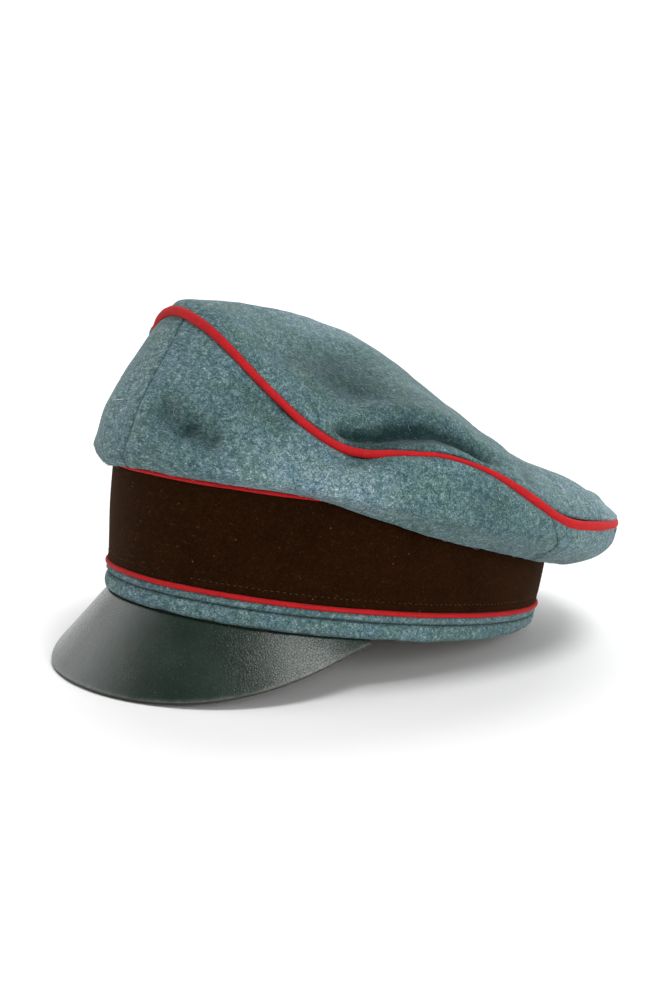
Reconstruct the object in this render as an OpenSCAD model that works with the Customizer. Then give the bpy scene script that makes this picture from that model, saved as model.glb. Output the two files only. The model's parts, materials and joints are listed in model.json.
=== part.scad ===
// Military peaked cap: a soft drooping wool crown, a dark band between two piped seams,
// a stitched lower welt, a leather-faced visor, and the leather and cloth inside.
//
// The cap is drawn level on the head: z = 0 is its lower edge, the front is -Y and the
// wearer's left is +X.  laid() then sets it down on the table, as it rests with no head in
// it: on the rim of the visor and the back of the welt.
// Angles run round the head from the front, positive towards the wearer's left.

/* [Head and band] */
// Half-width of the band at its lower piping
band_half_w = 87; // [82:0.5:92]
// How much longer than wide each half of the head oval is
oval_stretch = 18; // [14:1:22]
// Height of the lower piping above the lower edge
welt_h = 11.6; // [11:0.1:13]
// Height of the upper piping above the lower edge
band_top = 56.4; // [52:0.2:60]
// How far the band leans out between its two pipings
band_flare = 2.7; // [1:0.1:4]
// How far the middle of the band bulges out
band_bulge = 0.4; // [0:0.1:1]
// Thickness of the wool cloth
wool_t = 1.5; // [1.2:0.1:1.5]
// Thickness of the stiff band inside the cloth
stiffener_t = 0.9; // [0.6:0.1:0.9]

/* [Crown] */
// Half-width of the rim that the crown's piping follows
rim_half_w = 111; // [105:1:116]
// Half-length of the rim
rim_half_l = 115; // [110:1:120]
// How far the rim's centre lies behind the head's
rim_back = 23; // [18:1:28]
// Half-width of the crown where its sides bulge furthest
belly_half_w = 113; // [112:0.5:118]
// Half-length of the crown where its sides bulge furthest
belly_half_l = 125.5; // [124:0.5:130]
// How far the centre of the bulge lies behind the head's
belly_back = 12; // [9:1:15]
// Half-length of the ridge along the top of the crown
ridge_half_l = 95; // [90:1:100]
// How far the top swells above the rim at the front
puff_front = 5.5; // [4:0.5:9]
// How far the top swells above the rim at the back
puff_back = 9; // [6:0.5:13]
// Thickness of the crown's wool
crown_t = 2; // [1.6:0.1:2.2]
// Angle of the rear side seams at the band
seam_low = 112; // [106:1:118]
// Angle of the rear side seams at the rim
seam_high = 95; // [90:1:104]

/* [Piping] */
// Diameter of the piping round the crown
rim_piping_d = 3.3; // [2.4:0.1:3.4]
// Diameter of the pipings on the band
band_piping_d = 2.2; // [1.8:0.1:2.2]

/* [Visor] */
// Length of the visor down its middle
visor_len = 42; // [36:0.5:46]
// Angle from the front to each end of the visor
visor_half_angle = 73; // [65:1:78]
// Slope of the visor below the head's plane, at its middle
visor_drop = 58.5; // [50:0.5:60]
// How much flatter the slope is at the ends
visor_ease = 16; // [8:1:20]
// How far the sides of the visor splay outwards
visor_splay = 0.16; // [0:0.02:0.2]
// Thickness of each leather face of the visor
visor_leather_t = 0.55; // [0.4:0.05:0.6]
// Thickness of the fibre board in the visor
visor_core_t = 1; // [0.8:0.1:1]

/* [Inside] */
// Half-width of the opening inside the sweatband
head_half_w = 81.8; // [80:0.1:81.8]
// Height of the top edge of the sweatband
sweatband_top = 44; // [36:1:48]
// Thickness of the sweatband's leather
sweatband_t = 1; // [0.8:0.1:1]
// Thickness of the lining cloth
lining_t = 0.4; // [0.3:0.1:0.5]
// Gap between the ridge of the crown and the lining under it
lining_drop = 10; // [8:1:14]

/* [Resting on a table] */
// Angle that the front is raised by when the cap lies on a table
rest_tilt = 9.2; // [8.8:0.1:9.6]

/* [Hidden] */

// Columns round the whole cap, and round the lining
columns = 72;
lining_columns = 48;
step = 360 / columns;
// Gap left between pieces that are sewn edge to edge
sewn_gap = 0.1;
thread_d = 0.6;

// Height of the crown's rim, by angle
RIM = [
    [-180, 54], [-140, 54], [-110, 55], [-98, 58], [-88, 65], [-78, 74], [-68, 79.5],
    [-58, 79], [-48, 84], [-38, 97], [-28, 111], [-19, 120], [-6, 125], [6, 121],
    [16, 112], [26, 99], [36, 86], [47, 77.5], [57, 79], [67, 80], [76, 75.5],
    [86, 67], [97, 58], [110, 55], [140, 54]
];
// Height of the fold where the crown's side hangs down over the band, by angle
FOLD = [
    [-180, 29], [-140, 30], [-114, 34], [-90, 41], [-70, 46], [-50, 51], [-35, 53],
    [-17, 54.5], [0, 57], [15, 58], [42, 58], [59, 55], [73, 50], [90, 44],
    [100, 40.5], [114, 35], [130, 31], [150, 29.5]
];
// Height where the crown's side bulges furthest, by angle
BELLY = [
    [-180, 47], [-135, 48], [-110, 50], [-90, 53], [-70, 58], [-45, 62], [0, 65],
    [45, 62], [70, 58], [90, 53], [110, 50], [135, 48]
];
// Height of the ridge along the crown's top, by distance behind the head's centre
RIDGE = [
    [-100, 129], [-72, 131], [-55, 131], [-39, 130], [-22, 127.5], [-4, 123], [14, 115],
    [24, 108.5], [44, 94], [64, 83], [85, 74], [105, 66.5], [118, 63], [140, 58]
];
// Height of the lining's upper seam, by angle
LINING = [[-180, 66], [-135, 70], [-90, 74], [-60, 80], [-30, 94], [0, 106],
    [30, 94], [60, 80], [90, 74], [135, 70]];
// The ellipse of that seam, how far back its centre lies, and the half-length of the ridge
lining_half_w = 80;
lining_half_l = 94;
lining_back = 8;
lining_ridge_l = 70;

// ---- curves -------------------------------------------------------------------------

function mix(a, b, t) = a + (b - a) * t;
function unit(v) = v / norm(v);

// Smooth curve between p1 and p2, with p0 before them and p3 after: each is [place, value]
function hermite(p0, p1, p2, p3, x) =
    let (
        span = p2[0] - p1[0],
        t = (x - p1[0]) / span,
        m1 = span * (p2[1] - p0[1]) / (p2[0] - p0[0]),
        m2 = span * (p3[1] - p1[1]) / (p3[0] - p1[0])
    )
    (2 * t ^ 3 - 3 * t ^ 2 + 1) * p1[1] + (t ^ 3 - 2 * t ^ 2 + t) * m1
        + (3 * t ^ 2 - 2 * t ^ 3) * p2[1] + (t ^ 3 - t ^ 2) * m2;

// Number of keys that lie at or before x, less one
function key_before(keys, x) = len([for (k = keys) if (k[0] <= x) k]) - 1;

// Key i of a curve that repeats every turn
function turn_key(keys, i) =
    let (n = len(keys), turns = floor(i / n))
    [keys[i - turns * n][0] + 360 * turns, keys[i - turns * n][1]];

// Value at angle a of a curve that repeats every turn
function by_angle(keys, a) =
    let (w = a - 360 * floor((a + 180) / 360), i = key_before(keys, w))
    hermite(turn_key(keys, i - 1), turn_key(keys, i), turn_key(keys, i + 1),
        turn_key(keys, i + 2), w);

// Value at x of a curve with two ends; x stays inside its second and last but one keys
function along(keys, x) =
    let (i = min(max(key_before(keys, x), 1), len(keys) - 3))
    hermite(keys[i - 1], keys[i], keys[i + 1], keys[i + 2], x);

// Point at place u, 0 to len - 1, on a smooth curve through a list of points
function through(points, u) =
    let (
        last = len(points) - 1,
        i = min(floor(u), last - 1),
        t = u - i,
        p0 = points[max(i - 1, 0)],
        p1 = points[i],
        p2 = points[i + 1],
        p3 = points[min(i + 2, last)]
    )
    (2 * p1 + (p2 - p0) * t + (2 * p0 - 5 * p1 + 4 * p2 - p3) * t ^ 2
        + (3 * p1 - p0 - 3 * p2 + p3) * t ^ 3) / 2;

// Point on an oval of the head's shape: half-width w, angle a, height z
function oval(w, a, z) = [w * sin(a), -(w + oval_stretch) * cos(a), z];
// Its outward direction, level
function oval_out(w, a) = unit([(w + oval_stretch) * sin(a), -w * cos(a), 0]);
// Point on an ellipse whose centre lies back behind the head's
function ellipse(w, l, back, a, z) = [w * sin(a), back - l * cos(a), z];

// Half-width of the band's oval at height z
function band_w(z) = band_half_w + band_flare * (z - welt_h) / (band_top - welt_h);

// ---- skins --------------------------------------------------------------------------

// A solid through rows of points.  Each row is a closed loop of the same even length.  The
// rows join end to end in a ring, or end in caps that zip each loop's two halves together.
// The far half of a loop is the back of a sheet, and so are the rows from far_row on.  Their
// diagonals are turned, which splits both faces of a thin sheet alike and keeps them apart.
module skin(rows, ring = false, far_row = undef) {
    n = len(rows[0]);
    m = len(rows);
    spans = ring ? m : m - 1;
    back_row = is_undef(far_row) ? m : far_row;
    walls = [
        for (i = [0:spans - 1], j = [0:n - 1])
            let (
                a = i * n,
                b = ((i + 1) % m) * n,
                k = (j + 1) % n,
                turned = (j >= n / 2) != (i >= back_row)
            )
            each turned
                ? [[a + j, a + k, b + j], [a + k, b + k, b + j]]
                : [[a + j, b + k, b + j], [a + j, a + k, b + k]]
    ];
    caps = ring ? [] : [
        for (end = [0, 1], j = [0:n / 2 - 2])
            let (o = end * (m - 1) * n, p = o + j, q = o + j + 1, r = o + n - 2 - j, s = o + n - 1 - j)
            each end == 1 ? [[p, q, r], [p, r, s]] : [[r, q, p], [s, r, p]]
    ];
    polyhedron([for (r = rows) each r], concat(walls, caps));
}

// Rows for a ring round the head, from the [half-width, height] points of its section
function head_ring(section, n = columns) =
    [for (i = [0:n - 1]) let (a = i * 360 / n) [for (p = section) oval(p[0], a, p[1])]];

// Arc of [half-width, height] points
function arc(centre, rw, rh, from, to, n) =
    [for (i = [0:n]) let (a = mix(from, to, i / n)) centre + [rw * cos(a), rh * sin(a)]];

// Closed loop of a round tube's section, about p, in the plane of directions u and v
function tube_loop(p, u, v, r, sides) =
    [for (k = [0:sides - 1]) let (a = k * 360 / sides) p + r * (cos(a) * u + sin(a) * v)];

// A thread or piping round the band's oval
module head_tube(w, z, d, sides) {
    skin([
        for (i = [0:columns - 1])
            let (a = i * step)
            tube_loop(oval(w, a, z), oval_out(w, a), [0, 0, 1], d / 2, sides)
    ], ring = true);
}

// ---- the crown ----------------------------------------------------------------------

function rim_point(a) = ellipse(rim_half_w, rim_half_l, rim_back, a, by_angle(RIM, a));

// The crown's side, from the band's upper seam, over the piping, down to the fold, out to
// the bulge and up to the rim.  The fold hangs at least `clear` outside the seam.
function side_points(a) =
    let (
        top = band_top + 2.9,
        fold = by_angle(FOLD, a) + crown_t / 2,
        turn = max(top - 1, fold),
        belly_z = by_angle(BELLY, a),
        seam = oval(band_w(band_top), a, 0),
        belly = ellipse(belly_half_w, belly_half_l, belly_back, a, 0),
        reach = belly - seam,
        out = unit(reach),
        span = norm(reach),
        clear = 3.2,
        drop = min((turn - fold) / 4, 1),
        rim = rim_point(a),
        up = [0, 0, 1],
        belly_point = belly + up * belly_z,
        rise = rim - belly_point,
        lean = oval_out(band_half_w, a)
    )
    [
        seam - lean + up * top,
        seam + lean * mix(0.5 * clear, 0.9 * clear, drop) + up * mix(top - 0.5, turn, drop),
        seam + lean * (clear + 0.02 * span) + up * mix(fold, turn, 0.45),
        seam + lean * (clear + 0.09 * span) + up * fold,
        seam + out * mix(clear, span, 0.52) + up * mix(fold, belly_z, 0.28),
        seam + out * mix(clear, span, 0.88) + up * mix(fold, belly_z, 0.62),
        belly_point,
        belly_point + rise * 0.33 + lean * 0.035 * norm(rise),
        belly_point + rise * 0.67,
        rim - unit(rise) * (rim_piping_d / 2 + 0.35)
    ];
side_last = 9;
function side_point(a, u) = through(side_points(a), u);

// Outward direction of the side at angle a and place u
function side_normal(a, u) =
    let (
        d = 0.05,
        round_way = side_point(a + d, u) - side_point(a - d, u),
        up_way = side_point(a, min(u + d, side_last)) - side_point(a, max(u - d, 0))
    )
    unit(cross(round_way, up_way));

// Places of the rows up the side, closest where it bends most
SIDE_PLACES = [0, 0.7, 1.3, 2.1, 2.7, 3.2, 4, 5, 5.7, 6.4, 7.2, 8.2, 9];

// A sheet that follows the side: offsets are from the middle of the cloth, and from and to
// give the angle of its two ends at place u
module side_sheet(places, outer, inner, cols, from, to) {
    skin([
        for (i = [0:cols])
            let (
                line = [for (u = places) let (a = mix(from(u), to(u), i / cols))
                    [side_point(a, u), side_normal(a, u)]],
                n = len(places)
            )
            concat(
                [for (k = [0:n - 1]) line[k][0] + line[k][1] * outer],
                [for (k = [n - 1:-1:0]) line[k][0] + line[k][1] * inner]
            )
    ]);
}

// Angle of the rear side seams at place u: upright at the fold, then leaning forwards
function seam_angle(u) = mix(seam_low, seam_high, max(0, u - 2) / (side_last - 2));
// Half of the angle that parts two panels at their seam
sewn_angle = 0.04;

module side_panel(cols, from, to) {
    side_sheet(SIDE_PLACES, crown_t / 2, -crown_t / 2, cols, from, to);
}

module crown_side_left() {
    color("#5f7c7e") laid()
        side_panel(21, function(u) sewn_angle, function(u) seam_angle(u) - sewn_angle);
}

module crown_side_right() {
    color("#5f7c7e") laid()
        side_panel(21, function(u) sewn_angle - seam_angle(u), function(u) -sewn_angle);
}

module crown_side_back() {
    color("#5f7c7e") laid()
        side_panel(30, function(u) seam_angle(u) + sewn_angle,
            function(u) 360 - seam_angle(u) - sewn_angle);
}

// Stiff canvas that holds up the front of the crown, inside its two front panels
module front_stay() {
    stay_angle = 36;
    color("#b9ad8d") laid()
        side_sheet([5.7, 6.2, 6.8, 7.4, 8, 8.5], -crown_t / 2 - 0.5, -crown_t / 2 - 1.3, 16,
            function(u) -stay_angle, function(u) stay_angle);
}

module crown_piping() {
    d = 0.5;
    color("#c4212b") laid() skin([
        for (i = [0:columns - 1])
            let (
                a = i * step,
                way = unit(rim_point(a + d) - rim_point(a - d)),
                out = unit(cross(way, [0, 0, 1]))
            )
            tube_loop(rim_point(a), out, cross(out, way), rim_piping_d / 2, 8)
    ], ring = true);
}

// A domed top inside a rim: rho runs from 0 on the ridge to 1 at the rim
function dome_point(a, rho, w, l, back, ridge_l, rim_keys, drop, puff) =
    let (
        rim = by_angle(rim_keys, a),
        ridge = along(RIDGE, rim_back - ridge_half_l * cos(a)) - drop,
        slope = 1.3,
        edge = 12
    )
    [
        rho * w * sin(a),
        back - mix(ridge_l, l, rho) * cos(a),
        rim + (ridge - rim - puff) * (1 - rho ^ slope) + puff * (1 - rho ^ edge)
    ];

// A point of the dome that at(angle, rho) gives, moved out from its face by off
function dome_off(at, a, rho, off) =
    let (
        d = 0.004,
        p = at(a, rho),
        round_way = at(a + 0.1, rho) - at(a - 0.1, rho),
        in_way = at(a, rho - d) - at(a, rho + d)
    )
    p + unit(cross(round_way, in_way)) * off;

// A sheet of thickness t over the dome, with n columns and a row at each of rhos
module dome(at, rhos, t, n) {
    skin(concat(
        [for (k = [len(rhos) - 1:-1:0])
            [for (j = [0:n - 1]) dome_off(at, (j + 0.5) * 360 / n, rhos[k], t / 2)]],
        [for (rho = rhos)
            [for (j = [0:n - 1]) dome_off(at, (j + 0.5) * 360 / n, rho, -t / 2)]]
    ), far_row = len(rhos));
}

module crown_top() {
    at = function(a, rho) dome_point(a, rho, rim_half_w, rim_half_l, rim_back, ridge_half_l,
        RIM, 0, mix(puff_front, puff_back, (1 - cos(a)) / 2));
    color("#5f7c7e") laid()
        dome(at, [0.975, 0.957, 0.935, 0.9, 0.84, 0.74, 0.6, 0.44, 0.28, 0.14, 0.04], crown_t, columns);
}

// ---- the lining ---------------------------------------------------------------------

module lining_top() {
    at = function(a, rho) dome_point(a, rho, lining_half_w, lining_half_l, lining_back,
        lining_ridge_l, LINING, lining_drop, 2);
    color("#6b5334") laid()
        dome(at, [0.97, 0.9, 0.8, 0.65, 0.48, 0.3, 0.14, 0.05], lining_t, lining_columns);
}

// The wall runs from behind the sweatband, up past the band and in to the lining's top
module lining_wall() {
    low = 16;
    mid = band_top + 1;
    color("#6b5334") laid() skin([
        for (i = [0:lining_columns - 1])
            let (
                a = (i + 0.5) * 360 / lining_columns,
                out = oval_out(head_half_w, a),
                seam = by_angle(LINING, a),
                line = [
                    oval(head_half_w + 1.9, a, low),
                    oval(head_half_w + 2.8, a, sweatband_top),
                    oval(head_half_w + 3.2, a, mid),
                    ellipse(lining_half_w + 1, lining_half_l + 1, lining_back, a, mix(mid, seam, 0.6)),
                    ellipse(lining_half_w, lining_half_l, lining_back, a, seam)
                ]
            )
            concat(line, [for (k = [len(line) - 1:-1:0]) line[k] - out * lining_t])
    ], ring = true);
}

// ---- the band -----------------------------------------------------------------------

// Section of a sheet round the band: depth and thickness are inwards from the band's oval
function band_section(low, high, depth, t, bulge) =
    let (
        last = 2,
        face = [for (k = [0:last]) let (z = mix(low, high, k / last))
            [band_w(z) - depth + bulge * sin(180 * k / last), z]]
    )
    concat([for (k = [last:-1:0]) face[k] - [t, 0]], face);

module band_cover() {
    edge = band_piping_d / 2 + sewn_gap;
    color("#2a190c") laid()
        skin(head_ring(band_section(welt_h + edge, band_top - edge, 0.1, wool_t, band_bulge)),
            ring = true);
}

module band_stiffener() {
    low = 7.3;
    color("#8c7a58") laid()
        skin(head_ring(band_section(low, band_top, wool_t + 0.2, stiffener_t, 0)), ring = true);
}

module upper_band_piping() {
    color("#c4212b") laid() head_tube(band_w(band_top), band_top, band_piping_d, 6);
}

module lower_band_piping() {
    color("#c4212b") laid() head_tube(band_w(welt_h), welt_h, band_piping_d, 6);
}

// The row of stitches just above the lower piping
module band_stitching() {
    z = welt_h + 4.6;
    color("#6d4a24") laid() head_tube(band_w(z) + 0.35 + band_bulge / 4, z, thread_d, 4);
}

// Wool strip folded round the lower edge: a narrow roll, a stitched groove and a broad roll
module lower_welt() {
    outer = band_w(0) + 0.8;
    inner = band_w(0) - 1.7;
    half_t = (outer - inner) / 2;
    groove_z = 7.1;
    upper_r = (welt_h - band_piping_d / 2 - sewn_gap - groove_z) / 2;
    section = concat(
        arc([inner + half_t, groove_z / 2], half_t, groove_z / 2, -90, 65, 5),
        arc([outer + 0.4 - upper_r, groove_z + upper_r], upper_r, upper_r, -60, 90, 3),
        [[inner + 1, groove_z + 2 * upper_r], [inner + 0.6, groove_z],
            [inner, groove_z * 0.5], [inner + half_t * 0.4, groove_z * 0.1]]
    );
    color("#5f7c7e") laid() skin(head_ring(section), ring = true);
}

// The seam in the groove of the welt, which goes through to the visor and the sweatband
module welt_stitching() {
    color("#31413f") laid() head_tube(band_w(0) + 0.95, 7.15, thread_d, 4);
}

// ---- inside the band ----------------------------------------------------------------

function sweatband_face(z) = head_half_w + 0.012 * z;

module sweatband() {
    low = 2.3;
    face = [for (z = [sweatband_top, (low + sweatband_top) / 2, low]) [sweatband_face(z), z]];
    section = concat(face, [for (k = [2:-1:0]) face[k] + [sweatband_t, 0]]);
    color("#7d4c26") laid() skin(head_ring(section), ring = true);
}

// Round cord in a bound edge, along the foot of the sweatband
module sweatband_reed() {
    r = 1.05;
    color("#3c2616") laid() head_tube(head_half_w + 0.5, r + 0.1, 2 * r, 6);
}

module sweatband_stitching() {
    z = 4.2;
    color("#c9b48a") laid() head_tube(sweatband_face(z) - thread_d / 2 - 0.02, z, thread_d, 4);
}

// Leather tab over the joint at the back of the sweatband
module sweatband_tape() {
    half_angle = 3.4;
    t = 0.7;
    color("#6a3f1f") laid() skin([
        for (i = [0:4])
            let (
                a = 180 + mix(-half_angle, half_angle, i / 4),
                line = [for (z = [6.5, 19, 30, 41]) oval(sweatband_face(z) - 0.2, a, z)],
                out = oval_out(head_half_w, a)
            )
            concat(line, [for (k = [3:-1:0]) line[k] - out * t])
    ]);
}

// ---- the visor ----------------------------------------------------------------------

// The oval and height at which the visor leaves the band
visor_root_w = 85.5;
visor_root_z = -0.4;
// Its outline: how long it stays near full length, and how slowly it runs out at the ends
visor_out_pow = 2.9;
visor_end_pow = 1.4;
// The leather faces stop a little short of the fibre board's rim
visor_face_reach = 0.98;

// Point on the visor's upper face: t runs from 0 at the band to 1 at the rim
function visor_point(a, t) =
    let (
        u = min(abs(a) / visor_half_angle, 1),
        reach = visor_len * (1 - u ^ visor_out_pow) ^ visor_end_pow,
        slope = visor_drop - visor_ease * u ^ 2,
        out = unit((1 + visor_splay) * oval_out(visor_root_w, a) - visor_splay * [0, -1, 0])
    )
    oval(visor_root_w, a, visor_root_z) + t * reach * (cos(slope) * out - sin(slope) * [0, 0, 1]);

// Upward direction of that face
function visor_normal(a) =
    let (
        u = min(abs(a) / visor_half_angle, 1),
        slope = visor_drop - visor_ease * u ^ 2
    )
    unit(sin(slope) * oval_out(visor_root_w, a) + cos(slope) * [0, 0, 1]);

// The visor stops just short of the ends of its outline, where it has no width left
visor_stop = 0.97 * visor_half_angle;
visor_cols = 32;
VISOR_PLACES = [0, 0.2, 0.42, 0.64, 0.84, 1];

// One layer of the visor, between two depths below its upper face; reach scales its length
module visor_sheet(top, t, root, reach) {
    skin([
        for (i = [0:visor_cols])
            let (
                a = mix(-visor_stop, visor_stop, i / visor_cols),
                n = visor_normal(a),
                face = [for (p = VISOR_PLACES) visor_point(a, p * reach)],
                upper = concat([for (p = root) oval(p[0] + t / 2, a, p[1])],
                    [for (p = face) p - n * top]),
                lower = concat([for (p = root) oval(p[0] - t / 2, a, p[1])],
                    [for (p = face) p - n * (top + t)]),
                last = len(upper) - 1
            )
            concat(lower, [for (k = [last:-1:0]) upper[k]])
    ]);
}

module visor_top() {
    color("#3f4a42") laid() visor_sheet(0, visor_leather_t, [], visor_face_reach);
}

// The fibre board turns up inside the band as the flange that it is sewn by
module visor_core() {
    flange = [[83.45, 9.6], [83.45, 4.6], [83.85, 2.1]];
    color("#20211f") laid() visor_sheet(visor_leather_t + 0.05, visor_core_t, flange, 1);
}

module visor_underside() {
    color("#3a352c") laid()
        visor_sheet(visor_leather_t + visor_core_t + 0.1, visor_leather_t, [], visor_face_reach);
}

// ---- the table ----------------------------------------------------------------------

// Height and place of a point once the cap is tilted back to rest
function rest_z(p) = p[2] * cos(rest_tilt) - p[1] * sin(rest_tilt);
function rest_y(p) = p[1] * cos(rest_tilt) + p[2] * sin(rest_tilt);

visor_rim = [
    for (i = [0:visor_cols], depth = [visor_leather_t, visor_leather_t + 0.05 + visor_core_t])
        let (a = mix(-visor_stop, visor_stop, i / visor_cols))
        visor_point(a, 1) - visor_normal(a) * depth
];
welt_back = oval(band_w(0) - 0.45, 180, 0);
rest_lift = -min([for (p = concat(visor_rim, [welt_back])) rest_z(p)]);
rest_shift = -(min([for (p = visor_rim) rest_y(p)]) + rest_y(rim_point(180)) + rim_piping_d / 2) / 2;

module laid() {
    translate([0, rest_shift, rest_lift]) rotate([-rest_tilt, 0, 0]) children();
}

crown_top();
crown_side_left();
crown_side_right();
crown_side_back();
crown_piping();
front_stay();
lining_top();
lining_wall();
band_cover();
band_stiffener();
upper_band_piping();
lower_band_piping();
band_stitching();
lower_welt();
welt_stitching();
sweatband();
sweatband_reed();
sweatband_stitching();
sweatband_tape();
visor_top();
visor_core();
visor_underside();
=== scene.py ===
import json
import math

import bpy
import numpy as np
from mathutils import Matrix, Vector


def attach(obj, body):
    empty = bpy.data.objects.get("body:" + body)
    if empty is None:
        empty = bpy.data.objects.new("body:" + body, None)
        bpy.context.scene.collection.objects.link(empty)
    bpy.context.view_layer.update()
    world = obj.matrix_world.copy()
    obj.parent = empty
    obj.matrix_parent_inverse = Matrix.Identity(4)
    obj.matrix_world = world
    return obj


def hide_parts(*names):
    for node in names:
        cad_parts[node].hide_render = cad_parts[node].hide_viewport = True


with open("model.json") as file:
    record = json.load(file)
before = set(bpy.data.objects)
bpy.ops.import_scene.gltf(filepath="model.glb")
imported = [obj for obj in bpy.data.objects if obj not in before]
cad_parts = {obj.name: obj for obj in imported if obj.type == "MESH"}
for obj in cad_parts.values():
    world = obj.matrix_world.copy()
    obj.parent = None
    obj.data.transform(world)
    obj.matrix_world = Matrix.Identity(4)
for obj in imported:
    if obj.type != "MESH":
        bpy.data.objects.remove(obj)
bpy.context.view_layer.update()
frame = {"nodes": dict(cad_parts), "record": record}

# Lengths below are in millimetres in the cap's own frame, as in part.scad: z = 0 is the
# lower edge of the welt, the front is -Y and the wearer's left +X.  Angles are in degrees
# round the head from the front, positive towards the wearer's left.

# ---- the cap's frame, and sizes read from the CAD -----------------------------------

mount = next(m for m in frame["record"]["mounts"] if m["name"] == "head_opening")
UP = -np.array(mount["axis"], float)
UP /= np.linalg.norm(UP)
AXES = np.stack([[1, 0, 0], np.cross(UP, [1, 0, 0]), UP], axis=1)
ORIGIN = np.array(mount["pos_m"], float) * 1000


def cad_points(node):
    """A CAD node's points in the cap's frame."""
    co = np.array([v.co for v in frame["nodes"][node].data.vertices], float) * 1000
    return (co - ORIGIN) @ AXES


def ring_of(node):
    """Half-width of the oval, height and radius of a thin six-sided tube round the head."""
    p = cad_points(node)
    r = (p[:, 2].max() - p[:, 2].min()) / 2 / math.sin(math.radians(60))
    return p[:, 0].max() - r, (p[:, 2].max() + p[:, 2].min()) / 2, r


LOW_W, LOW_Z, BAND_R = ring_of("lower_band_piping")
TOP_W, TOP_Z, _ = ring_of("upper_band_piping")
lower = cad_points("lower_band_piping")
# How much longer than wide the half-oval of the head is
STRETCH = -lower[:, 1].min() - lower[:, 0].max()

rim_points = cad_points("crown_piping")
# The radius of the crown's piping in part.scad
RIM_R = 1.65
RIM_HALF_W = rim_points[:, 0].max() - RIM_R
RIM_HALF_L = (rim_points[:, 1].max() - rim_points[:, 1].min()) / 2 - RIM_R
RIM_BACK = (rim_points[:, 1].max() + rim_points[:, 1].min()) / 2
places = np.degrees(
    np.arctan2(rim_points[:, 0] / RIM_HALF_W, (RIM_BACK - rim_points[:, 1]) / RIM_HALF_L)
)
RIM = [
    (a, rim_points[np.abs((places - a + 180) % 360 - 180) < 2.5, 2].mean())
    for a in np.arange(-180, 180, 5)
]

# The radius of the crown's piping by angle: pinched thin where the top folds over it
PIPING_R = [(-180, 2.2), (-125, 2.2), (-100, 1.9), (-84, 1.3), (-68, 1.0), (-52, 1.55),
            (-30, 2.0), (-11, 2.2), (4, 2.2), (13, 2.0), (22, 1.75), (30, 1.65), (39, 1.8),
            (47, 1.85), (53, 1.65), (57, 1.35), (62, 1.08), (68, 0.95), (73, 1.0), (79, 1.45),
            (84, 1.9), (90, 2.1), (105, 2.25), (140, 2.25)]
# Small dips of the crown's piping: their angle, width and depth
RIM_DIPS = [(22, 9, 0.4), (42, 7, 0.8), (70, 5, 0.5), (98, 9, 0.6)]

# Heights by angle of the fold and the bulge of the crown's side, and of the lining's seam,
# and heights of the ridge from front to back: as in part.scad
FOLD = [(-180, 32), (-140, 33), (-114, 36), (-90, 41.5), (-70, 46.5), (-50, 52), (-35, 54.5),
        (-17, 55.5), (0, 57), (15, 58), (42, 58), (59, 54.5), (73, 49), (90, 42.6),
        (100, 39.6), (114, 36.2), (130, 33.8), (150, 32.5)]
BELLY = [(-180, 49), (-135, 50), (-110, 51), (-90, 53), (-70, 58), (-45, 62), (0, 65),
         (45, 62), (70, 58), (90, 53), (110, 51), (135, 50)]
LINING = [(-180, 66), (-135, 70), (-90, 74), (-60, 80), (-30, 94), (0, 106),
          (30, 94), (60, 80), (90, 74), (135, 70)]
RIDGE = [(-100, 129), (-72, 131), (-55, 131), (-39, 130), (-22, 127.5), (-4, 123), (14, 115),
         (24, 108.5), (44, 94), (64, 83), (85, 74), (105, 66.5), (118, 63), (140, 58)]
# The oval of the bulge: half-width, half-length, and how far back its middle is
BELLY_W, BELLY_L, BELLY_BACK = 113, 125.5, 12
# The half-length of the ridge, the half-width of the sweatband's inside, and its height
RIDGE_L, HEAD_W, SWEAT_TOP = 95, 81.8, 44
# How thick the wool of the crown and of the band is, and the lining
CROWN_T, BAND_T, LINING_T = 2.0, 1.5, 0.4

# ---- curves -------------------------------------------------------------------------


def mix(a, b, t):
    return a + (b - a) * t


def smooth(x, low, high):
    t = np.clip((x - low) / (high - low), 0, 1)
    return t * t * (3 - 2 * t)


def bell(x, width, middle=0.0):
    return np.exp(-(((x - middle) / width) ** 2))


def unit(v):
    return v / np.maximum(np.linalg.norm(v, axis=-1, keepdims=True), 1e-9)


def along(keys, x):
    """Value at x of a smooth curve through (place, value) keys, but for the first and last."""
    xs, ys = np.array(keys, float).T
    x = np.asarray(x, float)
    i = np.clip(np.searchsorted(xs, x, side="right") - 1, 1, len(xs) - 3)
    slope = (ys[2:] - ys[:-2]) / (xs[2:] - xs[:-2])
    span = xs[i + 1] - xs[i]
    t = (x - xs[i]) / span
    return ((2 * t**3 - 3 * t**2 + 1) * ys[i] + (t**3 - 2 * t**2 + t) * span * slope[i - 1]
            + (3 * t**2 - 2 * t**3) * ys[i + 1] + (t**3 - t**2) * span * slope[i])


def by_angle(keys, a):
    """Value at angle a of a curve that repeats every turn."""
    turned = [(k + 360 * turn, v) for turn in (-1, 0, 1) for k, v in keys]
    return along(turned, (np.asarray(a, float) + 180) % 360 - 180)


def through(points, u):
    """Points at places u on smooth curves through points, whose first axis is the place."""
    last = len(points) - 1
    i = np.clip(np.floor(u).astype(int), 0, last - 1)
    t = (u - i)[..., None]
    col = np.arange(points.shape[1])
    p0, p1 = points[np.maximum(i - 1, 0), col], points[i, col]
    p2, p3 = points[i + 1, col], points[np.minimum(i + 2, last), col]
    return (2 * p1 + (p2 - p0) * t + (2 * p0 - 5 * p1 + 4 * p2 - p3) * t**2
            + (3 * p1 - p0 - 3 * p2 + p3) * t**3) / 2


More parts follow.
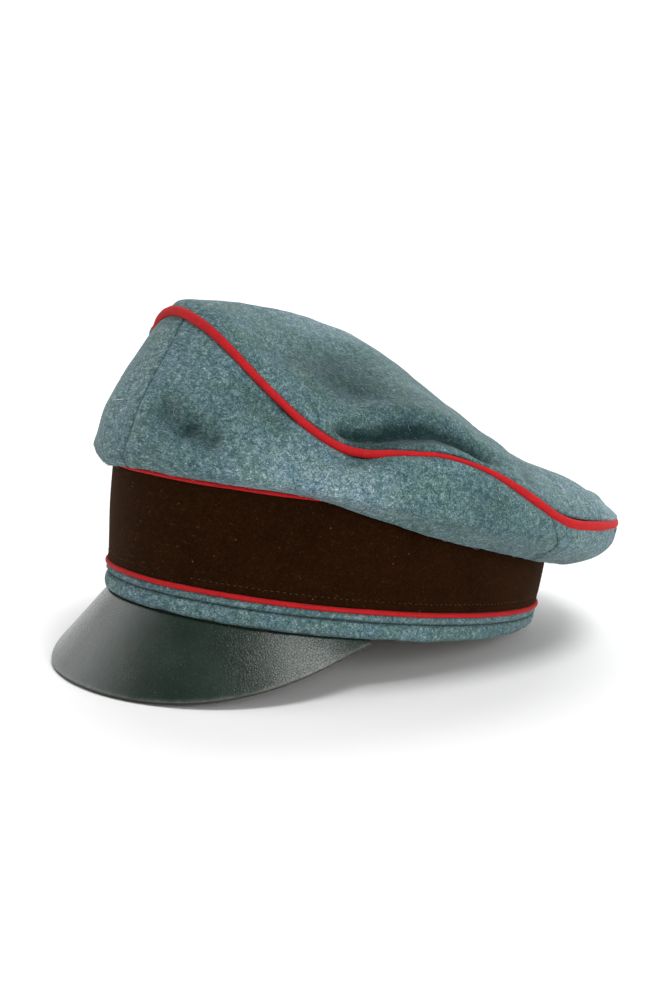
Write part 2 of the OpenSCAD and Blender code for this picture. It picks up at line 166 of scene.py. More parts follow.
def spaced(*stretches):
    """Places along stretches (first, last, count), each joined on to the next."""
    parts = [np.linspace(first, last, count) for first, last, count in stretches]
    return np.concatenate([part[:-1] for part in parts[:-1]] + parts[-1:])


def point(x, y, z):
    x, y, z = np.broadcast_arrays(x, y, z)
    return np.stack([x, y, z], axis=-1).astype(float)


def ellipse(w, length, back, a, z):
    s = np.radians(a)
    return point(w * np.sin(s), back - length * np.cos(s), z)


def oval(w, a, z):
    """Points on the oval round the head that is 2 w wide."""
    return ellipse(w, w + STRETCH, 0.0, a, z)


def oval_out(w, a):
    """Level directions straight out of that oval."""
    s = np.radians(a)
    return unit(point((w + STRETCH) * np.sin(s), -w * np.cos(s), 0.0))


def band_w(z):
    return mix(LOW_W, TOP_W, (np.asarray(z, float) - LOW_Z) / (TOP_Z - LOW_Z))


def rim_point(a):
    """The middle of the crown's piping, as in the CAD but for its dips, and drawn in a little
    at the back and at the right of the front, where it also hangs lower."""
    turn = (np.asarray(a, float) + 180) % 360 - 180
    right_front = bell(turn, 17, -30)
    near = 1 - 0.024 * smooth(np.abs(turn), 100, 140) - 0.026 * right_front
    z = by_angle(RIM, a) - 3.2 * right_front
    for middle, width, low in RIM_DIPS:
        z = z - low * bell(turn, width, middle)
    return ellipse(RIM_HALF_W * near, RIM_HALF_L * near, RIM_BACK, a, z)


def piping_edge(a):
    """How far from the middle of the piping the cloth beside it ends."""
    return 0.8 * by_angle(PIPING_R, a) + 0.1


# ---- soft noise and folds, all seeded -------------------------------------------------


def ripple(p, size, seed, waves=28):
    """Smooth noise of about -1 to 1 with bumps about size apart."""
    r = np.random.default_rng(seed)
    k = unit(r.normal(size=(waves, 3))) * (math.pi / size * r.uniform(0.6, 1.5, (waves, 1)))
    phase = r.uniform(0, 2 * math.pi, waves)
    flat = p.reshape(-1, 3)
    total = np.cos(flat @ k.T + phase).sum(1) / math.sqrt(waves) * 0.8
    return total.reshape(p.shape[:-1])


def groove(p, line, width, taper):
    """1 on a line through points, fading to 0 over about width, and towards its ends."""
    line = np.array(line, float)
    flat = p.reshape(-1, 3)
    best, at = np.full(len(flat), 1e9), np.zeros(len(flat))
    step = np.linalg.norm(np.diff(line, axis=0), axis=1)
    start = np.concatenate([[0], np.cumsum(step)]) / step.sum()
    for i in range(len(line) - 1):
        d = line[i + 1] - line[i]
        t = np.clip((flat - line[i]) @ d / (d @ d), 0, 1)
        far = np.linalg.norm(flat - line[i] - t[:, None] * d, axis=1)
        near = far < best
        best = np.where(near, far, best)
        at = np.where(near, start[i] + t * step[i] / step.sum(), at)
    ends = smooth(at, -0.02, taper) * smooth(1 - at, -0.02, taper)
    return (bell(best, width) * ends).reshape(p.shape[:-1])


def spot(p, centre, radii):
    return np.exp(-((((p - np.array(centre, float)) / np.array(radii, float)) ** 2).sum(-1)))


def lifted(p, folds, spots=()):
    """The sum of folds (height, width, taper, line) and spots (height, centre, radii)."""
    total = np.zeros(p.shape[:-1])
    for height, width, taper, line in folds:
        total += height * groove(p, line, width, taper)
    for height, centre, radii in spots:
        total += height * spot(p, centre, radii)
    return total


def beside(line, dx, dy, dz):
    return [(x + dx, y + dy, z + dz) for x, y, z in line]


# ---- meshes -------------------------------------------------------------------------


def facing(p, towards, wrap=False):
    """Normals of a grid of points, on the side that towards points to on the whole.
    With wrap, the grid's second axis is a closed ring."""
    along_rows = np.roll(p, -1, 1) - np.roll(p, 1, 1) if wrap else np.gradient(p, axis=1)
    n = unit(np.cross(np.gradient(p, axis=0), along_rows))
    return n * np.sign((n * towards).sum(-1).mean())


def two_faces(p, t, towards, wrap=False):
    """The outer and the inner face of a sheet of thickness t along a grid of points."""
    n = facing(p, towards, wrap)
    t = np.broadcast_to(t, p.shape[:-1])[..., None] / 2
    return p + n * t, p - n * t


def folded_round(outer, inner, axis=1):
    """Rows over a sheet's outer face and back under its inner face."""
    return np.concatenate([outer, np.flip(inner, axis)], axis)


def from_ends(p, axis):
    """Distances of each point of a grid from the two ends of its own line along an axis."""
    step = np.linalg.norm(np.diff(p, axis=axis), axis=-1)
    run = np.concatenate([np.zeros_like(np.take(step, [0], axis)), np.cumsum(step, axis)], axis)
    return run, np.take(run, [-1], axis) - run


def nearer_end(p, axis):
    return np.minimum(*from_ends(p, axis))


def edge_round(d, r):
    """Share of the full thickness at distance d from an edge rounded over r."""
    return np.sqrt(np.clip(1 - (1 - np.clip(d / r, 0, 1)) ** 2, 0.02, 1))


def ringed(line, across, up, radius, sides):
    """Rows of a tube round a line of points, from two directions across it."""
    k = np.linspace(0, 2 * math.pi, sides, endpoint=False)[:, None]
    r = np.broadcast_to(np.reshape(radius, (len(line), -1)), (len(line), sides))[..., None]
    across, up = (np.broadcast_to(v, line.shape)[:, None] for v in (across, up))
    return line[:, None] + across * (r * np.cos(k)) + up * (r * np.sin(k))


def tube(centre, radius, sides):
    """Rows of a tube along a closed line that runs round the head."""
    way = unit(np.roll(centre, -1, 0) - np.roll(centre, 1, 0))
    out = unit(np.cross(way, [0, 0, 1.0]))
    return ringed(centre, out, np.cross(out, way), radius, sides)


def skin_faces(rows, n, ring):
    """Faces of a skin over rows of n points: joined in a ring, or capped by zipping each end."""
    faces = []
    for i in range(rows if ring else rows - 1):
        a, b = i * n, (i + 1) % rows * n
        faces += [(a + j, a + (j + 1) % n, b + (j + 1) % n, b + j) for j in range(n)]
    if not ring:
        for end, o in ((0, 0), (1, (rows - 1) * n)):
            for j in range(n // 2 - 1):
                q = (o + j, o + j + 1, o + n - 2 - j, o + n - 1 - j)
                faces.append(q if end else q[::-1])
    return faces


def outward(points, faces):
    """The faces, turned over if they enclose a negative volume."""
    p = np.asarray(points, float).reshape(-1, 3)
    f = np.array([x[:3] for x in faces] + [(x[0], x[2], x[3]) for x in faces if len(x) == 4])
    volume = (p[f[:, 0]] * np.cross(p[f[:, 1]], p[f[:, 2]])).sum()
    return faces if volume > 0 else [x[::-1] for x in faces]


def piece(name, node, slot, material, points, faces, **attributes):
    """A mesh object from points in the cap's frame, riding on the cap in place of a node."""
    mesh = bpy.data.meshes.new(name)
    flat = (np.asarray(points, float).reshape(-1, 3) @ AXES.T + ORIGIN) / 1000
    mesh.from_pydata(flat.tolist(), [], faces)
    for key, values in attributes.items():
        vector = values.ndim == 3
        held = mesh.attributes.new(key, "FLOAT_VECTOR" if vector else "FLOAT", "POINT")
        held.data.foreach_set("vector" if vector else "value", values.astype(np.float32).ravel())
    mesh.update()
    mesh.validate()
    mesh.polygons.foreach_set("use_smooth", [True] * len(mesh.polygons))
    mesh.materials.append(material)
    obj = bpy.data.objects.new(name, mesh)
    bpy.context.scene.collection.objects.link(obj)
    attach(obj, "root")
    if node:
        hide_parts(node)
    return obj


def skin(name, node, slot, material, rows, ring=False, **attributes):
    """A piece that is a skin over rows of points; attributes are grids of the same shape."""
    faces = outward(rows, skin_faces(len(rows), rows.shape[1], ring))
    return piece(name, node, slot, material, rows, faces, **attributes)


def strands_piece(name, node, slot, material, strands):
    """One piece from many small closed tubes."""
    points, faces, first = [], [], 0
    for rows in strands:
        own = outward(rows, skin_faces(len(rows), rows.shape[1], False))
        points.append(rows.reshape(-1, 3))
        faces += [tuple(i + first for i in x) for x in own]
        first += rows.shape[0] * rows.shape[1]
    return piece(name, node, slot, material, np.concatenate(points), faces)


# ---- materials ----------------------------------------------------------------------


class Nodes:
    """A material's node tree, with short ways to add to it."""

    def __init__(self, name):
        self.material = bpy.data.materials.new(name)
        self.material.use_nodes = True
        self.tree = self.material.node_tree
        self.shader = self.tree.nodes["Principled BSDF"]
        self.at = self.add("ShaderNodeTexCoord").outputs["Object"]

    def add(self, kind, **values):
        node = self.tree.nodes.new(kind)
        for key, value in values.items():
            setattr(node, key, value)
        return node

    def link(self, source, node, socket):
        if isinstance(source, (int, float, tuple)):
            node.inputs[socket].default_value = source
        else:
            self.tree.links.new(source, node.inputs[socket])

    def noise(self, scale, detail=2.0, rough=0.5, distort=0.0, at=None):
        node = self.add("ShaderNodeTexNoise")
        self.link(self.at if at is None else at, node, "Vector")
        for key, value in (("Scale", scale), ("Detail", detail), ("Roughness", rough),
                           ("Distortion", distort)):
            node.inputs[key].default_value = value
        return node.outputs["Fac"]

    def strands(self, rotation, scale, detail=2.0, rough=0.5, distort=0.0):
        """Noise drawn out along one turned direction: scale is its rate along each axis."""
        node = self.add("ShaderNodeMapping")
        self.link(self.at, node, "Vector")
        node.inputs["Rotation"].default_value = rotation
        node.inputs["Scale"].default_value = scale
        return self.noise(1.0, detail, rough, distort, node.outputs["Vector"])

    def cells(self, scale, feature="F1"):
        node = self.add("ShaderNodeTexVoronoi", feature=feature)
        self.link(self.at, node, "Vector")
        node.inputs["Scale"].default_value = scale
        return node.outputs["Distance"]

    def math(self, operation, a, b=0.0, clamp=False):
        node = self.add("ShaderNodeMath", operation=operation, use_clamp=clamp)
        self.link(a, node, 0)
        self.link(b, node, 1)
        return node.outputs[0]

    def total(self, *parts):
        """The sum of (value, share) pairs."""
        total = None
        for value, share in parts:
            one = value if share == 1 else self.math("MULTIPLY", value, share)
            total = one if total is None else self.math("ADD", total, one)
        return total

    def ramp(self, value, *stops):
        """Colours or greys by value: stops are (place, colour)."""
        node = self.add("ShaderNodeValToRGB")
        self.link(value, node, "Fac")
        while len(node.color_ramp.elements) < len(stops):
            node.color_ramp.elements.new(0.5)
        for element, (place, colour) in zip(node.color_ramp.elements, stops):
            element.position = place
            colour = colour if isinstance(colour, tuple) else (colour,) * 3
            element.color = (*colour, 1)
        return node.outputs["Color"]

    def blend(self, share, a, b, how="MIX"):
        node = self.add("ShaderNodeMix", data_type="RGBA", blend_type=how)
        self.link(share, node, "Factor")
        for socket, value in ((6, a), (7, b)):
            if isinstance(value, tuple):
                node.inputs[socket].default_value = (*value, 1)
            else:
                self.tree.links.new(value, node.inputs[socket])
        return node.outputs[2]

    def attribute(self, name, out="Fac"):
        return self.add("ShaderNodeAttribute", attribute_name=name).outputs[out]

    def bump(self, height, distance, strength, after=None):
        node = self.add("ShaderNodeBump")
        self.link(height, node, "Height")
        node.inputs["Distance"].default_value = distance
        node.inputs["Strength"].default_value = strength
        if after is not None:
            self.link(after, node, "Normal")
        return node.outputs["Normal"]

    def finish(self, colour, rough, normal=None, **fixed):
        for source, socket in ((colour, "Base Color"), (rough, "Roughness"), (normal, "Normal")):
            if source is not None:
                self.link(source, self.shader, socket)
        for key, value in fixed.items():
            self.shader.inputs[key.replace("_", " ")].default_value = value
        return self.material


def times(colour, share):
    return tuple(x * share for x in colour)


# Directions of the fibres in milled wool, as turns about each axis
FIBRE_TURNS = [(0.3, 0.9, 0.2), (1.4, 0.1, 1.1), (0.7, 1.9, 2.3), (2.2, 0.6, 0.5)]


def wool(name, shades, tint, fibre, lift=1.0, sheen=0.15, sheen_tint=(0.8, 0.9, 0.92, 1),
         specular=0.15, specks=None, hollow=None, dye=((1.0, 1.0, 1.0), (1.0, 1.0, 1.0))):
    """Milled wool: mottled fibres in four directions, a soft nap and a few stray hairs."""
    m = Nodes(name)
    mottle = m.noise(440, 4, 0.7, 0.9)
    fine = m.noise(1500, 3, 0.65, 0.5)
    strands = None
    for turn in FIBRE_TURNS:
        one = m.strands(turn, (260, 1500, 1500), distort=0.7)
        strands = one if strands is None else m.math("MAXIMUM", strands, one)
    patches = m.noise(55, 3, 0.6)
    value = m.total((mottle, 0.37), (fine, 0.23), (strands, 0.46), (patches, 0.12))
    colour = m.ramp(value, *zip((0.518, 0.63, 0.742), shades))
    colour = m.blend(m.ramp(patches, (0.38, 0.0), (0.7, 0.4)), colour, tint, "SOFT_LIGHT")
    dyed = m.ramp(m.noise(85, 4, 0.65), (0.36, dye[0]), (0.64, dye[1]))
    colour = m.blend(1.0, colour, dyed, "MULTIPLY")
    hairs = m.strands((0.5, 0.4, 0.8), (140, 1300, 1300), 1, 0.4, 1.4)
    colour = m.blend(m.ramp(hairs, (0.69, 0.0), (0.77, 0.75)), colour, fibre)
    if specks:
        colour = m.blend(m.ramp(m.cells(130), (0.035, 0.8), (0.06, 0.0)), colour, specks)
    if hollow:
        # painted shade: darker by the attribute where it is above 0; painted light: paler where it is
        # below 0
        low, high = hollow
        colour = m.blend(m.attribute("hollow"), colour, m.blend(1.0, colour, low, "MULTIPLY"))
        painted_light_share = m.math("MULTIPLY", m.attribute("hollow"), -1.0, clamp=True)
        colour = m.blend(painted_light_share, colour, m.blend(1.0, colour, high, "MULTIPLY"))
    normal = m.bump(m.total((strands, 0.8), (mottle, 0.5)), 0.0006 * lift, 0.8)
    normal = m.bump(fine, 0.00022 * lift, 0.6, normal)
    return m.finish(colour, m.ramp(mottle, (0.3, 0.86), (0.7, 0.98)), normal,
                    Specular_IOR_Level=specular, Sheen_Weight=sheen, Sheen_Roughness=0.45,
                    Sheen_Tint=sheen_tint)


def leather(name, dark, light, rough, grain, coat=0.0, wear=None, specks=0.0):
    """Leather with a pebbled grain, faint creases, and worn edges where wear is given."""
    depth = 0.00006
    m = Nodes(name)
    cells = m.cells(grain)
    cracks = m.cells(grain * 0.55, "DISTANCE_TO_EDGE")
    soft = m.noise(60, 4, 0.6)
    fine = m.noise(2600, 3, 0.6)
    colour = m.blend(m.ramp(soft, (0.3, 0.0), (0.72, 1.0)), dark, light)
    pits = m.ramp(m.total((cells, 1), (fine, 0.4)), (0.3, 0.5), (0.75, 0.0))
    colour = m.blend(pits, colour, times(dark, 0.6))
    if specks:
        spots = m.ramp(m.noise(1500, 1, 0.5), (0.7, 0.0), (0.8, specks))
        colour = m.blend(spots, colour, (0.16, 0.18, 0.15))
    if wear:
        patchy = m.ramp(m.noise(260, 4, 0.7), (0.35, 0.25), (0.65, 1.0))
        colour = m.blend(m.math("MULTIPLY", m.attribute("wear"), patchy), colour, wear)
    rough_now = m.ramp(m.total((soft, 0.5), (fine, 0.5)), (0.3, rough[0]), (0.7, rough[1]))
    creases = m.ramp(cracks, (0.0, 0.5), (0.12, 0.0))
    normal = m.bump(m.math("SUBTRACT", m.math("MULTIPLY", cells, 0.9), creases), depth, 0.9)
    normal = m.bump(fine, depth * 0.6, 0.8, normal)
    normal = m.bump(m.noise(140, 3, 0.55), depth * 4, 0.5, normal)
    return m.finish(colour, rough_now, normal, Specular_IOR_Level=0.4, Coat_Weight=coat,
                    Coat_Roughness=0.26)


def weave(name, warp, weft, pitch, depth, rough=0.85, sheen=0.15, twill=False):
    """Woven cloth on the piece's own cloth coordinates, which are in millimetres."""
    m = Nodes(name)
    split = m.add("ShaderNodeSeparateXYZ")
    m.link(m.attribute("cloth", "Vector"), split, 0)
    wobble = m.math("MULTIPLY", m.noise(180, 2, 0.5), 0.8)
    x, y = (m.math("ADD", m.math("DIVIDE", split.outputs[i], pitch), wobble) for i in (0, 1))
    if twill:
        x = m.math("ADD", x, m.math("MULTIPLY", y, 0.5))
    wave_x, wave_y = (m.math("SINE", m.math("MULTIPLY", v, math.pi)) for v in (x, y))
    fibre = m.noise(2400, 3, 0.6)
    over = m.ramp(m.math("MULTIPLY", wave_x, wave_y), (0.35, 0.0), (0.65, 1.0))
    colour = m.blend(over, warp, weft)
    patches = m.ramp(m.noise(45, 3, 0.6), (0.3, 0.0), (0.75, 0.35))
    colour = m.blend(patches, colour, times(warp, 0.55))
    colour = m.blend(m.ramp(fibre, (0.35, 0.3), (0.6, 0.0)), colour, times(warp, 0.6))
    raised = m.math("MAXIMUM", m.math("ABSOLUTE", wave_x), m.math("ABSOLUTE", wave_y))
    normal = m.bump(m.total((raised, 1), (fibre, 0.4)), depth, 0.8)
    rough_now = m.ramp(fibre, (0.3, rough - 0.08), (0.7, min(rough + 0.08, 1.0)))
    return m.finish(colour, rough_now, normal, Specular_IOR_Level=0.25, Sheen_Weight=sheen,
                    Sheen_Roughness=0.5)


def twisted(name, dark, light):
    """Twisted sewing thread, or a single hair."""
    m = Nodes(name)
    ply = m.strands((0.4, 0.2, 0.7), (900, 4200, 4200), distort=0.3)
    colour = m.blend(m.ramp(ply, (0.35, 0.0), (0.65, 1.0)), dark, light)
    return m.finish(colour, m.ramp(ply, (0.3, 0.6), (0.7, 0.85)), m.bump(ply, 0.0001, 0.8),
                    Specular_IOR_Level=0.3)


def piping_cloth(name, dark, light, shadow):
    """Fine, tightly woven cloth round a cord."""
    m = Nodes(name)
    fine = m.noise(1900, 3, 0.6)
    ribs = m.strands((0.2, 0.8, 0.5), (700, 1700, 1700), distort=0.3)
    soft = m.noise(130, 3, 0.6)
    mottle = m.ramp(m.total((fine, 0.5), (ribs, 0.5)), (0.38, 0.0), (0.62, 1.0))
    colour = m.blend(mottle, dark, light)
    colour = m.blend(m.ramp(soft, (0.35, 0.35), (0.6, 0.0)), colour, shadow)
    normal = m.bump(ribs, 0.00014, 0.8, m.bump(fine, 0.00008, 0.6))
    return m.finish(colour, m.ramp(fine, (0.3, 0.7), (0.7, 0.9)), normal, Specular_IOR_Level=0.12,
                    Sheen_Weight=0.05, Sheen_Roughness=0.5, Sheen_Tint=(1, 0.4, 0.35, 1))


# The pair after the shades multiplies the colour: the first where shade is painted, the second where
# light is painted
crown_wool = wool("grey_green_wool",
                  [(0.014, 0.045, 0.045), (0.062, 0.120, 0.1245), (0.225, 0.303, 0.325)],
                  tint=(0.16, 0.24, 0.19), fibre=(0.40, 0.48, 0.48),
                  hollow=((0.11, 0.19, 0.19), (2.45, 2.0, 2.2)),
                  dye=((0.99, 1.0, 0.92), (0.95, 0.98, 1.07)))
band_wool = wool("dark_brown_wool",
                 [(0.0095, 0.0029, 0.0007), (0.015, 0.0047, 0.0010), (0.025, 0.0092, 0.0028)],
                 tint=(0.022, 0.009, 0.004), fibre=(0.060, 0.034, 0.018), lift=0.4, sheen=0.10,
                 sheen_tint=(0.55, 0.33, 0.18, 1), specks=(0.075, 0.046, 0.028), specular=0.02)
piping_red = piping_cloth("red_piping_cloth", (0.322, 0.0068, 0.0092), (0.470, 0.0122, 0.0150),
                          (0.26, 0.0055, 0.0085))
visor_green = leather("grey_green_leather", (0.007, 0.016, 0.011), (0.014, 0.028, 0.020),
                      (0.23, 0.30), 1500, coat=0.08, wear=(0.085, 0.095, 0.080), specks=0.5)
visor_edge = leather("fibre_board", (0.010, 0.010, 0.009), (0.022, 0.022, 0.020), (0.5, 0.7), 900)
visor_lining = leather("dark_brown_leather", (0.020, 0.016, 0.011), (0.045, 0.036, 0.025),
                       (0.5, 0.68), 1400)
sweat_leather = leather("tan_leather", (0.135, 0.058, 0.022), (0.235, 0.110, 0.045),
                        (0.38, 0.55), 1500)
tape_leather = leather("tan_tape_leather", (0.095, 0.040, 0.016), (0.16, 0.075, 0.03),
                       (0.4, 0.55), 1500)
board = leather("stiffener_board", (0.20, 0.16, 0.09), (0.30, 0.24, 0.15), (0.6, 0.8), 700)
reed_cloth = weave("bound_edge_cloth", (0.045, 0.024, 0.013), (0.030, 0.016, 0.009), 0.5, 0.0001,
                   rough=0.6)
lining_cloth = weave("lining_cloth", (0.155, 0.098, 0.045), (0.105, 0.064, 0.028), 0.45, 0.00008,
                     rough=0.5, sheen=0.3, twill=True)
canvas_cloth = weave("stiff_canvas", (0.48, 0.41, 0.28), (0.36, 0.30, 0.19), 0.9, 0.0002)
band_thread = twisted("brown_thread", (0.028, 0.013, 0.005), (0.070, 0.038, 0.018))
welt_thread = twisted("dark_green_thread", (0.010, 0.018, 0.018), (0.028, 0.045, 0.044))
sweat_thread = twisted("buff_thread", (0.30, 0.22, 0.12), (0.55, 0.44, 0.27))
pale_fibre = twisted("pale_wool_fibre", (0.20, 0.26, 0.26), (0.42, 0.50, 0.50))

# ---- the crown ----------------------------------------------------------------------

# Places up the side: 0 at the band's seam, SIDE_LAST at the piping
SIDE_LAST = 9
# How far, in degrees, a panel ends from the middle of its seam
SEWN = 0.03
# The angle of the two rear seams low on the side and at the piping
SEAM_LOW, SEAM_HIGH = 112, 92.5

# The depth at which a hollow is painted in full shade
FULL_PAINTED_SHADE = 4.5

# How far the wool stands out from the CAD's surface, as lifted() takes it.  The left side
# follows the photo, and the other side and the back are guessed in the same manner.
SIDE_FOLDS = [
    # the dent low on the front, with the roll of cloth under it
    (-3.5, 7.0, 0.25, [(6, -108, 88), (17, -107, 83), (26, -105, 78), (36, -103, 75)]),
    (-4.2, 7.0, 0.3, [(26, -105, 81), (34, -104, 77), (42, -101, 74), (51, -98, 72)]),
    (1.6, 8, 0.2, [(15, -112, 66), (45, -103, 65), (75, -82, 66)]),
    (-1.8, 6, 0.25, [(38, -92, 96), (52, -83, 90), (66, -74, 82)]),
    # the full cloth behind the dip of the piping, and a soft drag towards the back
    (1.2, 9, 0.2, [(80, -70, 66), (100, -38, 66), (110, -12, 60)]),
    (-1.0, 5, 0.3, [(104, -28, 74), (110, -5, 62), (108, 14, 50)]),
    # the front stands out a little on the right
    (1.8, 13, 0.25, [(-12, -108, 84), (-34, -103, 86), (-54, -93, 84)]),
    # the other side and the back
    (-3.2, 8, 0.3, [(-64, -90, 82), (-76, -79, 75), (-86, -68, 70)]),
    (-1.4, 6, 0.3, [(-104, -20, 70), (-110, 10, 56), (-100, 40, 42)]),
    (-1.6, 6, 0.35, [(-60, 118, 52), (-40, 112, 44), (-20, 108, 36)]),
    (-1.2, 11, 0.3, [(95, 80, 40), (80, 100, 38), (60, 115, 37)]),
    # the little tuck at the foot of the rear left seam
    (-1.4, 2.2, 0.2, [(101, 36, 43), (97, 38, 40), (90, 41, 37)]),
]
SIDE_SPOTS = [(-2.8, (86, -57, 73.5), (9, 11, 4)), (-1.0, (-45, -98, 86), (14, 14, 7)),
              (-1.6, (-95, -40, 72), (9, 14, 5))]
# Painted light on the side: paler where the height is above 0, and painted shade below 0
SIDE_PAINTED_LIGHT = [
    (1.0, 13, 0.3, [(42, -104, 62), (70, -84, 65), (93, -60, 65), (106, -35, 60)]),
    (0.55, 14, 0.25, [(112, 40, 48), (104, 70, 46), (84, 100, 46)]),
    (0.4, 14, 0.25, [(-6, -104, 100), (-18, -110, 80), (-30, -108, 68)]),
    (0.8, 13, 0.3, [(-42, -104, 62), (-70, -84, 65), (-93, -60, 65), (-106, -35, 60)]),
    (-0.396, 9, 0.3, [(107, -26, 57), (112, -7, 57), (114, 10, 53)]),
]
SIDE_PAINTED_LIGHT_SPOTS = [(0.45, (12, -99, 105), (22, 22, 13)), (0.3, (-20, -105, 72), (24, 16, 14)),
                  (-0.271, (67, -90, 67), (14, 14, 8))]


def side_points(a):
    """The side at each angle, from the band's seam round to the rim, as in part.scad."""
    up = np.array([0, 0, 1.0])
    top = TOP_Z + 2.9
    fold = by_angle(FOLD, a) + CROWN_T / 2
    turn = np.maximum(top - 1, fold)
    belly_z = by_angle(BELLY, a)
    seam = oval(band_w(TOP_Z), a, 0.0)
    reach = ellipse(BELLY_W, BELLY_L, BELLY_BACK, a, 0.0) - seam
    out, span = unit(reach), np.linalg.norm(reach, axis=-1)
    # how far the fold hangs clear of the band
    clear = 3.2
    turned = np.abs((a + 180) % 360 - 180)
    full = np.maximum(smooth(turned, 92, 125), 1 - smooth(turned, 38, 62))
    drop = np.minimum((turn - fold) / 4, 1)
    belly = seam + reach + up * belly_z[:, None]
    rise = rim_point(a) - belly
    lean = oval_out(LOW_W, a)

    def step(level, lean_by=0.0, out_by=0.0):
        """Points at a level, moved from the seam straight out and towards the bulge."""
        level, lean_by, out_by = (
            np.broadcast_to(v, a.shape)[:, None] for v in (level, lean_by, out_by)
        )
        return seam + lean * lean_by + out * out_by + up * level

    return np.stack([
        step(top, -1.0),
        step(mix(top - 0.5, turn, drop), clear * mix(0.5, 0.9, drop)),
        step(mix(fold, turn, 0.45), clear + 0.02 * span),
        step(fold, clear + 0.09 * span),
        step(mix(fold, belly_z, mix(0.28, 0.2, full)), 0, mix(clear, span, mix(0.52, 0.66, full))),
        step(mix(fold, belly_z, mix(0.62, 0.55, full)), 0, mix(clear, span, mix(0.88, 0.94, full))),
        belly,
        belly + rise * 0.33 + lean * 0.035 * np.linalg.norm(rise, axis=-1)[:, None],
        belly + rise * 0.67,
        rim_point(a) - unit(rise) * piping_edge(a)[:, None],
    ])


def side_surface(a, u):
    """Points on the crown's side at angles a and places u, two grids of one shape."""
    return through(side_points(a.ravel()), u.ravel()).reshape(*a.shape, 3)


def side_shape(p, a, u):
    """How far the wool of the side stands out, and its painted shade and light."""
    to_rim = SIDE_LAST - u
    d = lifted(p, SIDE_FOLDS, SIDE_SPOTS)
    # the right of the front stands out most under the piping
    d += 2.6 * bell(a, 15, -31) * bell(to_rim, 0.9, 1.0)
    # painted shade where the wool sinks, less the painted light of the side's table
    hollow = 0.78 * np.clip(-d / FULL_PAINTED_SHADE, 0, 1.1) - 0.48 * lifted(p, SIDE_PAINTED_LIGHT, SIDE_PAINTED_LIGHT_SPOTS)
    soft = 0.55 * ripple(p, 34, 11) + 0.28 * ripple(p, 13, 12) + 0.12 * ripple(p, 5, 13)
    d += soft * smooth(u, 1.5, 3.0) * smooth(to_rim, 0.0, 1.2)
    # pulled in a little along the piping's seam, and full again below it
    d += 0.4 * bell(to_rim, 0.6, 1.0) - 0.9 * bell(to_rim, 0.4)
    return d, hollow


def side_panel(name, node, columns, start, end, seed):
    """One panel of the side.  Its ends roll inwards where they are sewn to the next panel."""
    places = spaced((0, 3.4, 30), (3.4, SIDE_LAST, 46))
    t = np.linspace(0, 1, columns)
    t = mix(t, smooth(t, 0, 1), 0.35)
    u = np.broadcast_to(places, (columns, len(places)))
    a = mix(start(places), end(places), t[:, None])
    out = oval_out(LOW_W, a)
    p = side_surface(a, u)
    n = facing(p, out)
    d, hollow = side_shape(p, a, u)
    p = p + n * d[..., None]
    from_seam = nearer_end(p, 0)
    rolled = bell(from_seam + 0.1 * ripple(p, 9, seed), 0.7)
    p = p - n * rolled[..., None]
    t_now = CROWN_T * edge_round(from_seam + 0.05, 0.9)
    t_now *= edge_round(nearer_end(p, 1) + 0.05, 0.8)
    outer, inner = two_faces(p, t_now, out)
    # darker along the seams, where the ends roll inwards
    hollow = hollow + 0.6 * rolled
    return skin(name, node, "crown_wool", crown_wool, folded_round(outer, inner),
                hollow=folded_round(hollow, 0 * hollow)), outer


def seam_angle(u):
    """The angle of the rear seams at each place up the side."""
    return mix(SEAM_LOW, SEAM_HIGH, (np.maximum(0, u - 2) / (SIDE_LAST - 2)) ** 0.8)


side_left, left_face = side_panel("crown_side_left_wool", "crown_side_left", 128,
                                  lambda u: SEWN + 0 * u, lambda u: seam_angle(u) - SEWN, 21)
side_right, right_face = side_panel("crown_side_right_wool", "crown_side_right", 128,
                                    lambda u: SEWN - seam_angle(u), lambda u: -SEWN + 0 * u, 22)
side_back, back_face = side_panel("crown_side_back_wool", "crown_side_back", 176,
                                  lambda u: seam_angle(u) + SEWN,
                                  lambda u: 360 - seam_angle(u) - SEWN, 23)


def dome_surface(a, rho, w, length, back, ridge_l, rim_keys, drop, puff):
    """A dome over an oval, at share rho of the way out, under the ridge lowered by drop."""
    rim = by_angle(rim_keys, a)
    ridge = along(RIDGE, RIM_BACK - RIDGE_L * np.cos(np.radians(a))) - drop
    z = rim + (ridge - rim - puff) * (1 - rho**1.3) + puff * (1 - rho**12)
    return ellipse(rho * w, mix(ridge_l, length, rho), back, a, z)


